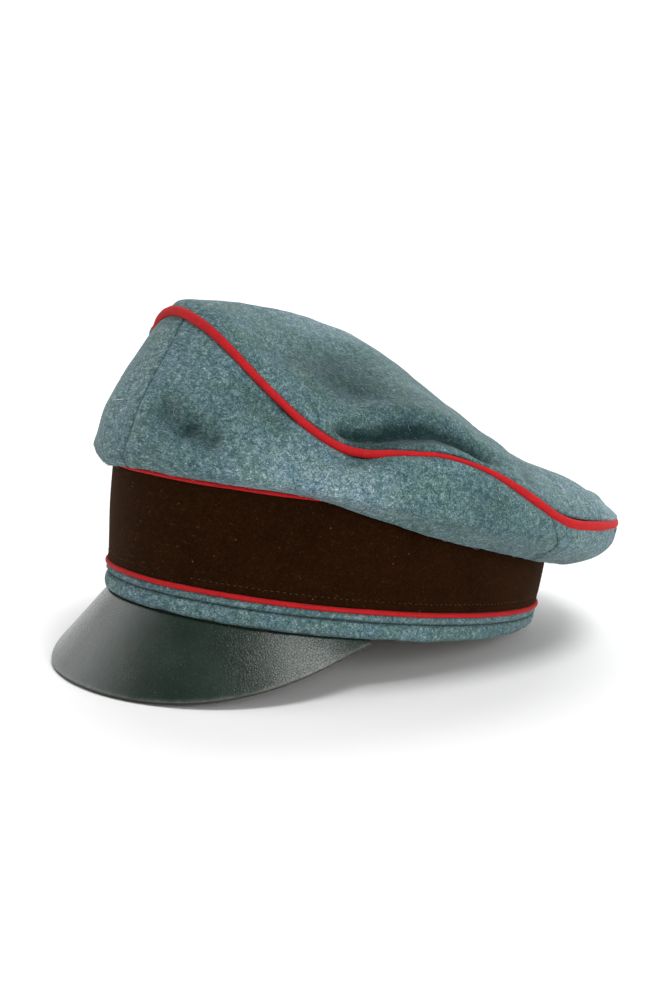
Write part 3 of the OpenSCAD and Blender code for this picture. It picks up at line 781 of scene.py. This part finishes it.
# The long crease of the top above the piping's dip, as the edge of its shade, and its floor
SHADE = [(71, -62, 86.5), (76, -57.5, 84.5), (80.5, -53, 83), (86, -44.5, 84.5), (90, -35.3, 87),
         (95.3, -23.8, 87.5), (101, -12, 84), (105, -4, 79), (107, 7, 73.5)]
CREASE = beside(SHADE, -3.6, -0.8, 1.8)
TOP_FOLDS = [
    # the crease, and the full cloth over it
    (-5.8, 5.6, 0.2, CREASE),
    (1.4, 9, 0.25, beside(SHADE, -13, -3, 5.5)),
    (-1.4, 4.2, 0.2, beside(SHADE[:6], -1.0, -0.6, 0.4)),
    # the soft trough that comes down to it from the ridge
    (-2.4, 13, 0.35, [(26, -24, 121), (44, -35, 113), (57, -41, 105), (68, -45, 98), (76, -47, 92)]),
    # the broad hollow between the ridge and the piping
    (-0.9, 16, 0.25, [(52, -36, 106), (66, -14, 100), (76, 6, 92), (80, 24, 84)]),
    # the valley before the lobe that hangs at the rear, and the dip behind it
    (-2.4, 6, 0.2, [(78, 36, 80), (88, 30, 78), (100, 22, 74), (108, 16, 70)]),
    (-1.3, 15, 0.3, [(86, 74, 71), (62, 106, 63), (40, 124, 63)]),
    # the front right and the middle lie a little lower
    (-1.9, 11, 0.25, [(-50, -80, 114), (-33, -86, 125), (-14, -88, 130)]),
    (-1.0, 12, 0.3, [(-26, -86, 128), (-10, -88, 131), (6, -86, 131)]),
    # the other side and the back
    (-4.0, 5.5, 0.3, [(-70, -62, 84), (-84, -42, 86), (-94, -24, 84), (-102, -2, 75)]),
    (1.8, 8, 0.3, [(-62, -60, 90), (-74, -40, 93), (-85, -22, 90)]),
    (-2.6, 8, 0.25, [(-60, 40, 85), (-82, 30, 78), (-104, 20, 68)]),
    (-2.2, 8, 0.3, [(-20, 86, 76), (-34, 104, 68), (-46, 120, 60)]),
]
TOP_SPOTS = [(4.0, (84, 62, 68), (21, 25, 14)), (-1.7, (34, 16, 107), (18, 22, 14))]
# A long, soft sag between the ridge and the lobe, which adds no painted shade
SAG = [(-2.4, 15, 0.3, [(36, -6, 114), (52, 8, 105), (64, 20, 95), (72, 32, 86)])]
# Painted shade on the top: in the trough, along the crease and under it; a spot below 0 is painted
# light
TOP_PAINTED_SHADE = [
    (0.36, 15, 0.3, [(30, -50, 116), (48, -43, 109), (66, -36, 101), (82, -26, 93), (94, -8, 86)]),
    (0.5, 4.8, 0.2, CREASE),
    (0.85, 3.4, 0.2, SHADE[:7]),
]
TOP_PAINTED_SHADE_SPOTS = [(0.324, (44, -52, 107), (24, 20, 15)), (0.18, (36, -60, 109), (13, 13, 9)),
                  (-0.252, (50, -38, 107), (9, 9, 8))]
# Painted light on the top: paler on the ridge, along the sag and on the lobe at the rear
TOP_PAINTED_LIGHT = [(0.32, 22, 0.3, [(0, -62, 128), (2, -30, 128), (10, 10, 115)]),
           (0.2, 12, 0.3, [(50, -14, 106), (64, 6, 98), (76, 22, 88)])]
TOP_PAINTED_LIGHT_SPOTS = [(1.0, (62, 92, 64), (44, 32, 17)), (0.22, (95, 57, 68), (16, 18, 10))]


def top_shape(p, rho):
    """How far the wool of the top stands out, and its painted shade and light."""
    d = lifted(p, TOP_FOLDS, TOP_SPOTS) * smooth(1 - rho, -0.01, 0.045)
    # painted shade where the wool sinks and from the table of painted shade
    hollow = 0.62 * np.clip(-d / FULL_PAINTED_SHADE, 0, 1) + lifted(p, TOP_PAINTED_SHADE, TOP_PAINTED_SHADE_SPOTS)
    # the painted shade reaches the piping under the crease
    hollow += 0.6 * groove(p, SHADE[1:6], 7.5, 0.3) * smooth(rho, 0.92, 0.965)
    soft = 0.7 * ripple(p, 42, 31) + 0.35 * ripple(p, 15, 32) + 0.12 * ripple(p, 5.5, 33)
    d += (lifted(p, SAG) + soft) * smooth(1 - rho, 0.0, 0.12)
    # less the painted light of the top
    return d, np.clip(hollow, 0, 1) - lifted(p, TOP_PAINTED_LIGHT, TOP_PAINTED_LIGHT_SPOTS)


def crown_top():
    columns = 300
    a = (np.arange(columns) + 0.5) * 360 / columns
    rho = np.concatenate([[0.012], np.linspace(0.03, 0.955, 62)])
    A, RHO = np.meshgrid(a, rho)
    # the last rows close up to where the piping's seam is at each angle
    edge = 1 - np.array([3.0, 2.4, 1.9, 1.4, 1.0])[:, None] * piping_edge(a) / RIM_HALF_W
    A = np.concatenate([A, np.broadcast_to(a, edge.shape)])
    RHO = np.concatenate([RHO, np.maximum(edge, 0.957)])
    RHO[-4:] = np.maximum(RHO[-4:], RHO[-5:-1] + 0.0012)
    puff = mix(5.5, 9, (1 - np.cos(np.radians(A))) / 2)
    p = dome_surface(A, RHO, RIM_HALF_W, RIM_HALF_L, RIM_BACK, RIDGE_L, RIM, 0, puff)
    d, hollow = top_shape(p, RHO)
    p = p + facing(p, [0, 0, 1], True) * d[..., None]
    t = CROWN_T * edge_round(from_ends(p, 0)[1] + 0.05, 0.9)
    outer, inner = two_faces(p, t, [0, 0, 1], True)
    return skin("crown_top_wool", "crown_top", "crown_wool", crown_wool,
                folded_round(outer, inner, 0), hollow=folded_round(hollow, 0 * hollow, 0)), outer


top_piece, top_face = crown_top()


def crown_piping():
    sides = 14
    a = np.linspace(0, 360, 640, endpoint=False)
    centre = rim_point(a)
    radius = by_angle(PIPING_R, a) * (1 + 0.03 * ripple(centre, 16, 41))
    rough = 0.035 * ripple(tube(centre, radius, sides), 1.6, 42)
    centre = centre + point(0, 0, 0.12 * ripple(centre, 22, 43))
    return skin("crown_piping_cloth", "crown_piping", "piping", piping_red,
                tube(centre, radius[:, None] + rough, sides), ring=True)


crown_piping()


def front_stay():
    """Stiff canvas behind the front, on the inner face of the two front panels."""
    U, A = np.meshgrid(np.linspace(5.7, 8.5, 30), np.linspace(-36, 36, 60))
    p = side_surface(A, U)
    n = facing(p, oval_out(LOW_W, A))
    p = p + n * (side_shape(p, A, U)[0] - 2.1)[..., None]
    cloth = point(A * 1.9, U * 14, 0)
    return skin("front_stay_canvas", "front_stay", "canvas", canvas_cloth,
                folded_round(*two_faces(p, 0.8, n)), cloth=folded_round(cloth, cloth))


stay_piece = front_stay()


def stray_fibres(faces_of, count, seed):
    """Fine curved hairs that lie on the wool or stand a little off it."""
    rg = np.random.default_rng(seed)
    t = np.linspace(-1, 1, 7)
    for grid, share in faces_of:
        n = facing(grid, grid - [0, 20, 40])
        for _ in range(int(count * share)):
            i = rg.integers(4, grid.shape[0] - 4)
            j = rg.integers(6, grid.shape[1] - 3)
            at, out = grid[i, j], n[i, j]
            way = unit(np.cross(out, rg.normal(size=3)))
            half, bend, lift = rg.uniform(1.2, 3.4), rg.normal() * 0.9, rg.uniform(0.05, 0.5)
            aside = bend * t**2 + 0.3 * np.sin(3 * t)
            raised = lift * (1 - t**2) - 0.25 * t**2 + 0.05
            line = (at + way * (half * t)[:, None] + np.cross(out, way) * aside[:, None]
                    + out * raised[:, None])
            along_line = unit(np.gradient(line, axis=0))
            across = unit(np.cross(along_line, out))
            radius = 0.045 * np.sqrt(np.clip(1.05 - t**2, 0.05, 1))
            yield ringed(line, across, np.cross(across, along_line), radius, 4)


strands_piece("crown_stray_fibres", None, "crown_wool", pale_fibre,
              stray_fibres([(top_face, 0.4), (left_face, 0.22), (right_face, 0.22),
                            (back_face, 0.16)], 460, 45))

# ---- the band -----------------------------------------------------------------------

# How far, in degrees, each strip ends from the joint at the back
BACK_SEAM = 0.05
STITCH_Z = LOW_Z + 4.6
STITCH_PITCH = 2.6
BAND_ROUND = 2 * math.pi * (LOW_W + STRETCH / 2)


def beats(pitch):
    """How fast a wave along the band turns, in radians a degree, for a length of pitch."""
    return 2 * math.pi * BAND_ROUND / pitch / 360


def round_sheet(name, node, slot, material, w_of, z, t, columns, shape, edge_r):
    """A sheet round the band with its joint at the back; w_of(z) is the oval of its middle."""
    a = np.linspace(-180 + BACK_SEAM, 180 - BACK_SEAM, columns)
    A, Z = np.meshgrid(a, z, indexing="ij")
    out = oval_out(LOW_W, A)
    p = oval(w_of(Z), A, Z)
    p = p + out * shape(p, A, Z)[..., None]
    ends = nearer_end(p, 0)
    t_now = t * edge_round(nearer_end(p, 1) + 0.04, edge_r) * edge_round(ends + 0.04, edge_r)
    p = p - out * (0.35 * t * bell(ends, 0.8))[..., None]
    return skin(name, node, slot, material, folded_round(*two_faces(p, t_now, out)))


def stitch_row(w, z, pitch, length, radius, seed, tilt, wobble):
    """Separate stitches round the oval, each dipping into the cloth at its ends."""
    rg = np.random.default_rng(seed)
    up = np.array([0, 0, 1.0])
    t = np.linspace(-1, 1, 7)
    fine = np.linspace(-180, 180, 7201)
    step = np.linalg.norm(np.diff(oval(LOW_W, fine, 0.0), axis=0), axis=1)
    run = np.concatenate([[0], np.cumsum(step)])
    count = int(run[-1] / pitch)
    for a in np.interp((np.arange(count) + 0.5) * run[-1] / count, run, fine):
        centre = oval(w, a, z + wobble * rg.normal())
        out = oval_out(LOW_W, a)
        lean = math.radians(tilt * rg.normal() * 0.6)
        way = np.cross(up, out) * math.cos(lean) + up * math.sin(lean)
        half = length / 2 * (1 + 0.08 * rg.normal())
        line = centre + way * (t * half)[:, None] - out * (1.1 * radius * t**2)[:, None]
        yield ringed(line, out, np.cross(out, way), radius * np.sqrt(np.clip(1.02 - t**2, 0.02, 1)), 6)


def band_face(z):
    """Half-width of the outer face of the band's cover, which swells a little."""
    t = (np.asarray(z, float) - LOW_Z) / (TOP_Z - LOW_Z)
    return band_w(z) - 0.1 + 0.4 * np.sin(math.pi * np.clip(t, 0, 1))


def band_shape(p, a, z):
    """Slow waves of the cover, and its sinking under each stitch."""
    d = 0.28 * ripple(p, 38, 51) + 0.10 * ripple(p, 14, 52)
    d *= smooth(z, LOW_Z + 1, LOW_Z + 6) * smooth(TOP_Z - z, 1, 6)
    return d - bell(z, 0.7, STITCH_Z) * (0.22 + 0.08 * np.cos(beats(STITCH_PITCH) * a))


# heights of the cover's rows: close together at its edges and under the stitches
band_z = spaced((LOW_Z + 1, LOW_Z + 3.4, 8), (LOW_Z + 3.4, LOW_Z + 6, 9),
                (LOW_Z + 6, TOP_Z - 3, 20), (TOP_Z - 3, TOP_Z - 1, 7))
band_cover = round_sheet("band_cover_wool", "band_cover", "band_wool", band_wool,
                         lambda z: band_face(z) - BAND_T / 2, band_z, BAND_T, 420, band_shape, 0.9)
strands_piece("band_stitches", "band_stitching", "band_thread", band_thread,
              stitch_row(band_face(STITCH_Z) - 0.2, STITCH_Z, STITCH_PITCH, 1.2, 0.2, 61, 6, 0.1))


def band_piping(name, node, w, z, seed, slim):
    sides = 12
    centre = oval(w, np.linspace(0, 360, 560, endpoint=False), z)
    centre = centre + point(0, 0, 0.12 * ripple(centre, 24, seed))
    radius = BAND_R * (1 + 0.05 * ripple(centre, 14, seed + 1) - slim)
    rough = 0.03 * ripple(tube(centre, radius, sides), 1.5, seed + 2)
    return skin(name, node, "piping", piping_red, tube(centre, radius[:, None] + rough, sides),
                ring=True)


band_piping("lower_band_piping_cloth", "lower_band_piping", LOW_W, LOW_Z, 71, 0.0)
band_piping("upper_band_piping_cloth", "upper_band_piping", TOP_W, TOP_Z, 75, 0.12)

WELT_PITCH = 3.1
WELT_T = 0.7
GROOVE_Z = 7.1
# The welt's outer and inner half-width
WELT_OUT, WELT_IN = band_w(0) + 0.8, band_w(0) - 1.7
# Its section from the top of the inside down, under the foot, and up the two rolls outside:
# 0 from the inner half-width to 1 from the outer one, how far out from there, and the height
WELT_SECTION = [
    (1, -1.7, 10.1), (0, 0.35, 10.3), (0, 0.05, 9.3), (0, 0, 7.5), (0, 0, 5.0), (0, 0, 2.4),
    (0, 0.3, 0.8), (0.5, 0, 0.1), (1, -0.4, 0.6), (1, 0.05, 1.8), (1, 0.25, 3.4), (1, 0.15, 4.8),
    (1, -0.15, 5.8), (1, -0.75, 6.6), (1, -1.2, 7.0), (1, -1.2, 7.3), (1, -0.7, 7.75),
    (1, -0.05, 8.5), (1, 0.05, 9.3), (1, -0.3, 10.1), (1, -0.85, 10.4), (1, -1.3, 10.2),
]


def welt():
    """The strip of wool folded round the lower edge, in two rolls with a sewn groove between."""
    rows, columns = 84, 590
    path = np.array([(mix(WELT_IN, WELT_OUT, side) + out, z) for side, out, z in WELT_SECTION])
    places = np.linspace(0, len(path) - 1, rows)
    section = through(np.repeat(path[:, None], rows, 1), places)
    a = np.linspace(-180 + BACK_SEAM, 180 - BACK_SEAM, columns)
    A, W = np.meshgrid(a, section[:, 0], indexing="ij")
    Z = np.broadcast_to(section[:, 1], A.shape)
    out = oval_out(LOW_W, A)
    line = oval(W, A, Z)
    # 1 on the outside and 0 on the inside
    face = smooth(W, mix(WELT_IN, WELT_OUT, 0.4), WELT_OUT - 0.2) * smooth(places, 7, 10)
    beat = np.cos(beats(WELT_PITCH) * A + 0.7 * ripple(line, 20, 81)) * bell(Z, 1.7, GROOVE_Z)
    d = face * (0.16 * beat + 0.2 * ripple(line, 9, 82) + 0.14 * ripple(line, 4, 83))
    ground = line * [1, 1, 0]
    fall = (1 - smooth(Z, 0.0, 3.5)) * (0.25 * ripple(ground, 12, 84) + 0.18 * ripple(ground, 5, 85))
    # the foot is pressed in and up towards the back, where the cap rests on it
    tuck = smooth(np.abs(A), 84, 140)
    d -= 1.4 * tuck * (1 - smooth(Z, 0.0, 7.0)) * face
    fall += 2.8 * tuck * (1 - smooth(Z, 0.0, 8.0))
    ends = nearer_end(line, 0)
    d -= 0.5 * face * bell(ends, 0.8)
    p = line + out * d[..., None] + point(0, 0, fall)
    half = rows // 2
    n = facing(p, out * (np.arange(rows) == half)[:, None])
    t = WELT_T * edge_round(ends + 0.04, 0.6) * edge_round(nearer_end(p, 1) + 0.05, 0.5)
    # painted shade in the sewn groove and along the foot, and a little painted light all over
    hollow = (0.95 * smooth(places, 9, 12) * bell(Z, 0.55, GROOVE_Z + 0.05)
              + 0.35 * (1 - smooth(Z, 0.2, 1.6)) - 0.12)
    return skin("lower_welt_wool", "lower_welt", "crown_wool", crown_wool,
                folded_round(p, p - n * t[..., None]), hollow=folded_round(hollow, 0 * hollow))


lower_welt = welt()
strands_piece("welt_stitches", "welt_stitching", "welt_thread", welt_thread,
              stitch_row(band_w(0) - 0.42, GROOVE_Z + 0.05, WELT_PITCH, 2.5, 0.24, 62, 3, 0.05))

# ---- inside the band ----------------------------------------------------------------


def sweat_w(z):
    return HEAD_W + 0.012 * np.asarray(z, float)


def sweat_shape(p, a, z):
    """Soft waves of the sweatband, larger towards its free upper edge."""
    high = smooth(z, 8, SWEAT_TOP)
    d = (0.25 + 0.55 * high) * ripple(p * [1, 1, 0.45], 26, 91) + 0.10 * ripple(p, 7, 92)
    return np.clip(d - 0.2 * high, -0.9, 0.25)


def sweatband_reed():
    """The round, bound edge along the foot of the sweatband."""
    sides, columns = 12, 400
    centre = oval(HEAD_W + 0.5, np.linspace(0, 360, columns, endpoint=False), 1.15)
    rows = tube(centre, 1.05 * (1 + 0.05 * ripple(centre, 6, 93)), sides)
    cloth = point(np.linspace(0, BAND_ROUND, columns)[:, None], np.linspace(0, 6.6, sides), 0)
    return skin("sweatband_reed_binding", "sweatband_reed", "reed_binding", reed_cloth, rows,
                ring=True, cloth=cloth)


def sweatband_tape():
    """The leather tab over the joint of the sweatband."""
    Z, A = np.meshgrid(np.linspace(6.5, 41, 40), np.linspace(176.6, 183.4, 24))
    out = oval_out(LOW_W, A)
    p = oval(sweat_w(Z) - 0.62, A, Z) - out * (0.12 * ripple(oval(80, A, Z), 7, 94))[..., None]
    t = 0.7
    for axis in (0, 1):
        t = t * edge_round(nearer_end(p, axis) + 0.05, 0.5)
    return skin("sweatband_tape_leather", "sweatband_tape", "sweatband_leather", tape_leather,
                folded_round(*two_faces(p, t, out)))


sweat_z = spaced((2.3, 6.5, 9), (6.5, SWEAT_TOP - 1.5, 20), (SWEAT_TOP - 1.5, SWEAT_TOP, 5))
sweatband = round_sheet("sweatband_leather", "sweatband", "sweatband_leather", sweat_leather,
                        lambda z: sweat_w(z) + 0.5, sweat_z, 1.0, 320, sweat_shape, 0.5)
sweatband_reed()
strands_piece("sweatband_stitches", "sweatband_stitching", "sweatband_thread", sweat_thread,
              stitch_row(sweat_w(4.2) - 0.12, 4.2, 3.4, 2.2, 0.24, 63, 4, 0.06))
sweatband_tape()

# ---- the lining ---------------------------------------------------------------------

LINING_W, LINING_L, LINING_BACK, LINING_RIDGE = 80, 94, 8, 70


def lining_wall():
    columns = 260
    a = np.linspace(-180 + BACK_SEAM, 180 - BACK_SEAM, columns)
    seam = by_angle(LINING, a)
    mid = TOP_Z + 1
    keys = np.stack([
        oval(HEAD_W + 1.7, a, 16.0),
        oval(HEAD_W + 2.6, a, SWEAT_TOP),
        oval(HEAD_W + 3.0, a, mid),
        ellipse(LINING_W + 1, LINING_L + 1, LINING_BACK, a, mix(mid, seam, 0.6)),
        ellipse(LINING_W, LINING_L, LINING_BACK, a, seam),
    ])
    u = np.linspace(0, 4, 60)
    p = np.stack([through(keys, np.full(columns, v)) for v in u], axis=1)
    A = np.broadcast_to(a[:, None], p.shape[:2])
    out = oval_out(LOW_W, A)
    free = smooth(u, 1.2, 2.4) * smooth(4 - u, 0, 0.8)
    gathers = 0.9 * ripple(p * [1, 1, 0.25], 14, 101) + 0.35 * ripple(p * [1, 1, 0.4], 5.6, 102)
    p = p - out * (0.6 * free * (1 + gathers))[..., None]
    cloth = point(A * 1.6, from_ends(p, 1)[0], 0)
    return skin("lining_wall_cloth", "lining_wall", "lining", lining_cloth,
                folded_round(*two_faces(p, LINING_T, out)), cloth=folded_round(cloth, cloth))


def lining_top():
    columns = 200
    a = (np.arange(columns) + 0.5) * 360 / columns
    A, RHO = np.meshgrid(a, np.concatenate([[0.02], np.linspace(0.05, 0.985, 44)]))
    p = dome_surface(A, RHO, LINING_W, LINING_L, LINING_BACK, LINING_RIDGE, LINING, 10, 2)
    sag = smooth(1 - RHO, 0, 0.25) * (0.8 + 0.9 * ripple(p, 26, 103) + 0.3 * ripple(p, 10, 104))
    p = p - facing(p, [0, 0, 1], True) * sag[..., None]
    cloth = p * [1, 1, 0]
    return skin("lining_top_cloth", "lining_top", "lining", lining_cloth,
                folded_round(*two_faces(p, LINING_T, [0, 0, 1], True), 0),
                cloth=folded_round(cloth, cloth, 0))


wall_piece, lining_piece = lining_wall(), lining_top()

# ---- the visor, as in part.scad ------------------------------------------------------

VISOR_W, VISOR_Z = 85.5, -0.4
VISOR_LEN, VISOR_HALF, VISOR_DROP, VISOR_EASE, VISOR_SPLAY = 42, 73, 58.5, 16, 0.16
OUT_POW, END_POW = 2.9, 1.4
LEATHER_T, BOARD_T = 0.55, 1.0
# The board's flange inside the band, as half-widths and heights from the top down
FLANGE = [(83.45, 9.6), (83.45, 7.0), (83.45, 4.6), (83.6, 3.2), (84.1, 1.4)]


def visor_slope(a):
    return np.radians(VISOR_DROP - VISOR_EASE * np.minimum(np.abs(a) / VISOR_HALF, 1) ** 2)[..., None]


def visor_point(a, t):
    u = np.minimum(np.abs(a) / VISOR_HALF, 1)
    reach = VISOR_LEN * (1 - u**OUT_POW) ** END_POW
    out = unit((1 + VISOR_SPLAY) * oval_out(VISOR_W, a) - VISOR_SPLAY * np.array([0, -1.0, 0]))
    way = np.cos(visor_slope(a)) * out - np.sin(visor_slope(a)) * np.array([0, 0, 1.0])
    return oval(VISOR_W, a, VISOR_Z) + (t * reach)[..., None] * way


def visor_normal(a):
    slope = visor_slope(a)
    return unit(np.sin(slope) * oval_out(VISOR_W, a) + np.cos(slope) * np.array([0, 0, 1.0]))


def visor_layer(name, node, slot, material, top, t, reach, bulge=0.0, root=()):
    """One layer of the visor, with its free edges rounded over."""
    columns, rows = 200, 44
    a = np.linspace(-0.97 * VISOR_HALF, 0.97 * VISOR_HALF, columns)
    A, T = np.meshgrid(a, 1 - np.linspace(1, 0, rows) ** 1.35, indexing="ij")
    n = visor_normal(A)
    p = visor_point(A, T * reach) - n * (top + t / 2)
    p = p + n * (bulge * (0.25 * ripple(p, 45, 111) + 0.05 * ripple(p, 12, 112)))[..., None]
    free = from_ends(p, 1)[1]
    t_now = t * edge_round(free + 0.03, 0.55 * t + 0.15) * edge_round(nearer_end(p, 0) + 0.1, 1.0)
    wear = bell(free, 1.1)
    if root:
        turn = np.stack([oval(w, a, z) for w, z in root], axis=1)
        p = np.concatenate([turn, p], axis=1)
        t_now = np.concatenate([np.full(turn.shape[:2], t), t_now], axis=1)
        wear = np.concatenate([np.zeros(turn.shape[:2]), wear], axis=1)
    faces = two_faces(p, t_now, visor_normal(np.broadcast_to(a[:, None], p.shape[:2])))
    return skin(name, node, slot, material, folded_round(*faces), wear=folded_round(wear, wear))


visor_layer("visor_top_leather", "visor_top", "visor_leather", visor_green, 0, LEATHER_T, 0.985, 1.0)
visor_layer("visor_core_board", "visor_core", "visor_board", visor_edge, LEATHER_T + 0.03, BOARD_T,
            1.0, root=FLANGE)
visor_layer("visor_under_leather", "visor_underside", "visor_lining", visor_lining,
            LEATHER_T + BOARD_T + 0.06, LEATHER_T, 0.965, 0.6)

# the stiffener inside the band keeps its CAD shape
stiffener = frame["nodes"]["band_stiffener"]
stiffener.data.materials.clear()
stiffener.data.materials.append(board)

# ---- floor, light and camera, in metres ----------------------------------------------


def floor_disc(radius, corners):
    ring = np.linspace(0, 2 * math.pi, corners, endpoint=False)
    points = [(radius * math.cos(t), radius * math.sin(t), 0.0) for t in ring]
    mesh = bpy.data.meshes.new("floor")
    mesh.from_pydata(points, [], [tuple(range(corners))])
    obj = bpy.data.objects.new("floor", mesh)
    bpy.context.scene.collection.objects.link(obj)
    m = Nodes("pale_floor")
    pale = m.ramp(m.noise(1.5, 2, 0.5), (0.3, 0.90), (0.7, 0.92))
    mesh.materials.append(m.finish(pale, 0.9, Specular_IOR_Level=0.1))


def light(name, around, height, strength, spread):
    """A broad, far light from around degrees round the cap and height degrees up."""
    data = bpy.data.lights.new(name, "SUN")
    data.energy, data.angle = strength, math.radians(spread)
    obj = bpy.data.objects.new(name, data)
    a, e = math.radians(around), math.radians(height)
    way = Vector((math.sin(a) * math.cos(e), -math.cos(a) * math.cos(e), math.sin(e)))
    obj.location = way * 2
    obj.rotation_mode = "QUATERNION"
    obj.rotation_quaternion = (-way).to_track_quat("-Z", "Y")
    bpy.context.scene.collection.objects.link(obj)


def studio(strength, wall, ceiling):
    """White walls under a darker ceiling; each is (place from down to up, grey)."""
    world = bpy.data.worlds.new("soft_studio")
    bpy.context.scene.world = world
    world.use_nodes = True
    tree = world.node_tree
    way = tree.nodes.new("ShaderNodeTexCoord")
    split = tree.nodes.new("ShaderNodeSeparateXYZ")
    ramp = tree.nodes.new("ShaderNodeValToRGB")
    tree.links.new(way.outputs["Generated"], split.inputs[0])
    tree.links.new(split.outputs["Z"], ramp.inputs["Fac"])
    for element, (place, grey) in zip(ramp.color_ramp.elements, (wall, ceiling)):
        element.position = place
        element.color = (grey, grey, grey, 1)
    tree.links.new(ramp.outputs["Color"], tree.nodes["Background"].inputs["Color"])
    tree.nodes["Background"].inputs["Strength"].default_value = strength


def set_camera(place, forward, up, lens):
    data = bpy.data.cameras.new("camera")
    data.lens = lens
    data.clip_start = 0.05
    camera = bpy.data.objects.new("camera", data)
    bpy.context.scene.collection.objects.link(camera)
    across = forward.cross(up).normalized()
    up = across.cross(forward).normalized()
    camera.location = place
    camera.rotation_mode = "QUATERNION"
    turned = Matrix((across, up, -forward.normalized())).transposed()
    camera.rotation_quaternion = turned.to_quaternion()
    bpy.context.scene.camera = camera


floor_disc(radius=8, corners=96)
light("overhead", 98, 70, 1.6, 25)
light("side", 88, 14, 1.7, 45)
light("front_right", 300, 26, 0.55, 40)
light("rear", 222, 42, 1.5, 45)
studio(1.15, wall=(0.24, 1.0), ceiling=(0.5, 0.2))
# from the wearer's front left and a little above, as the photo was taken
set_camera((0.63158, -0.46197, 0.21134), Vector((-0.79502, 0.57756, -0.18537)),
           Vector((-0.14741, 0.11247, 0.98266)), lens=62.01)
bpy.context.scene.view_settings.view_transform = "Standard"
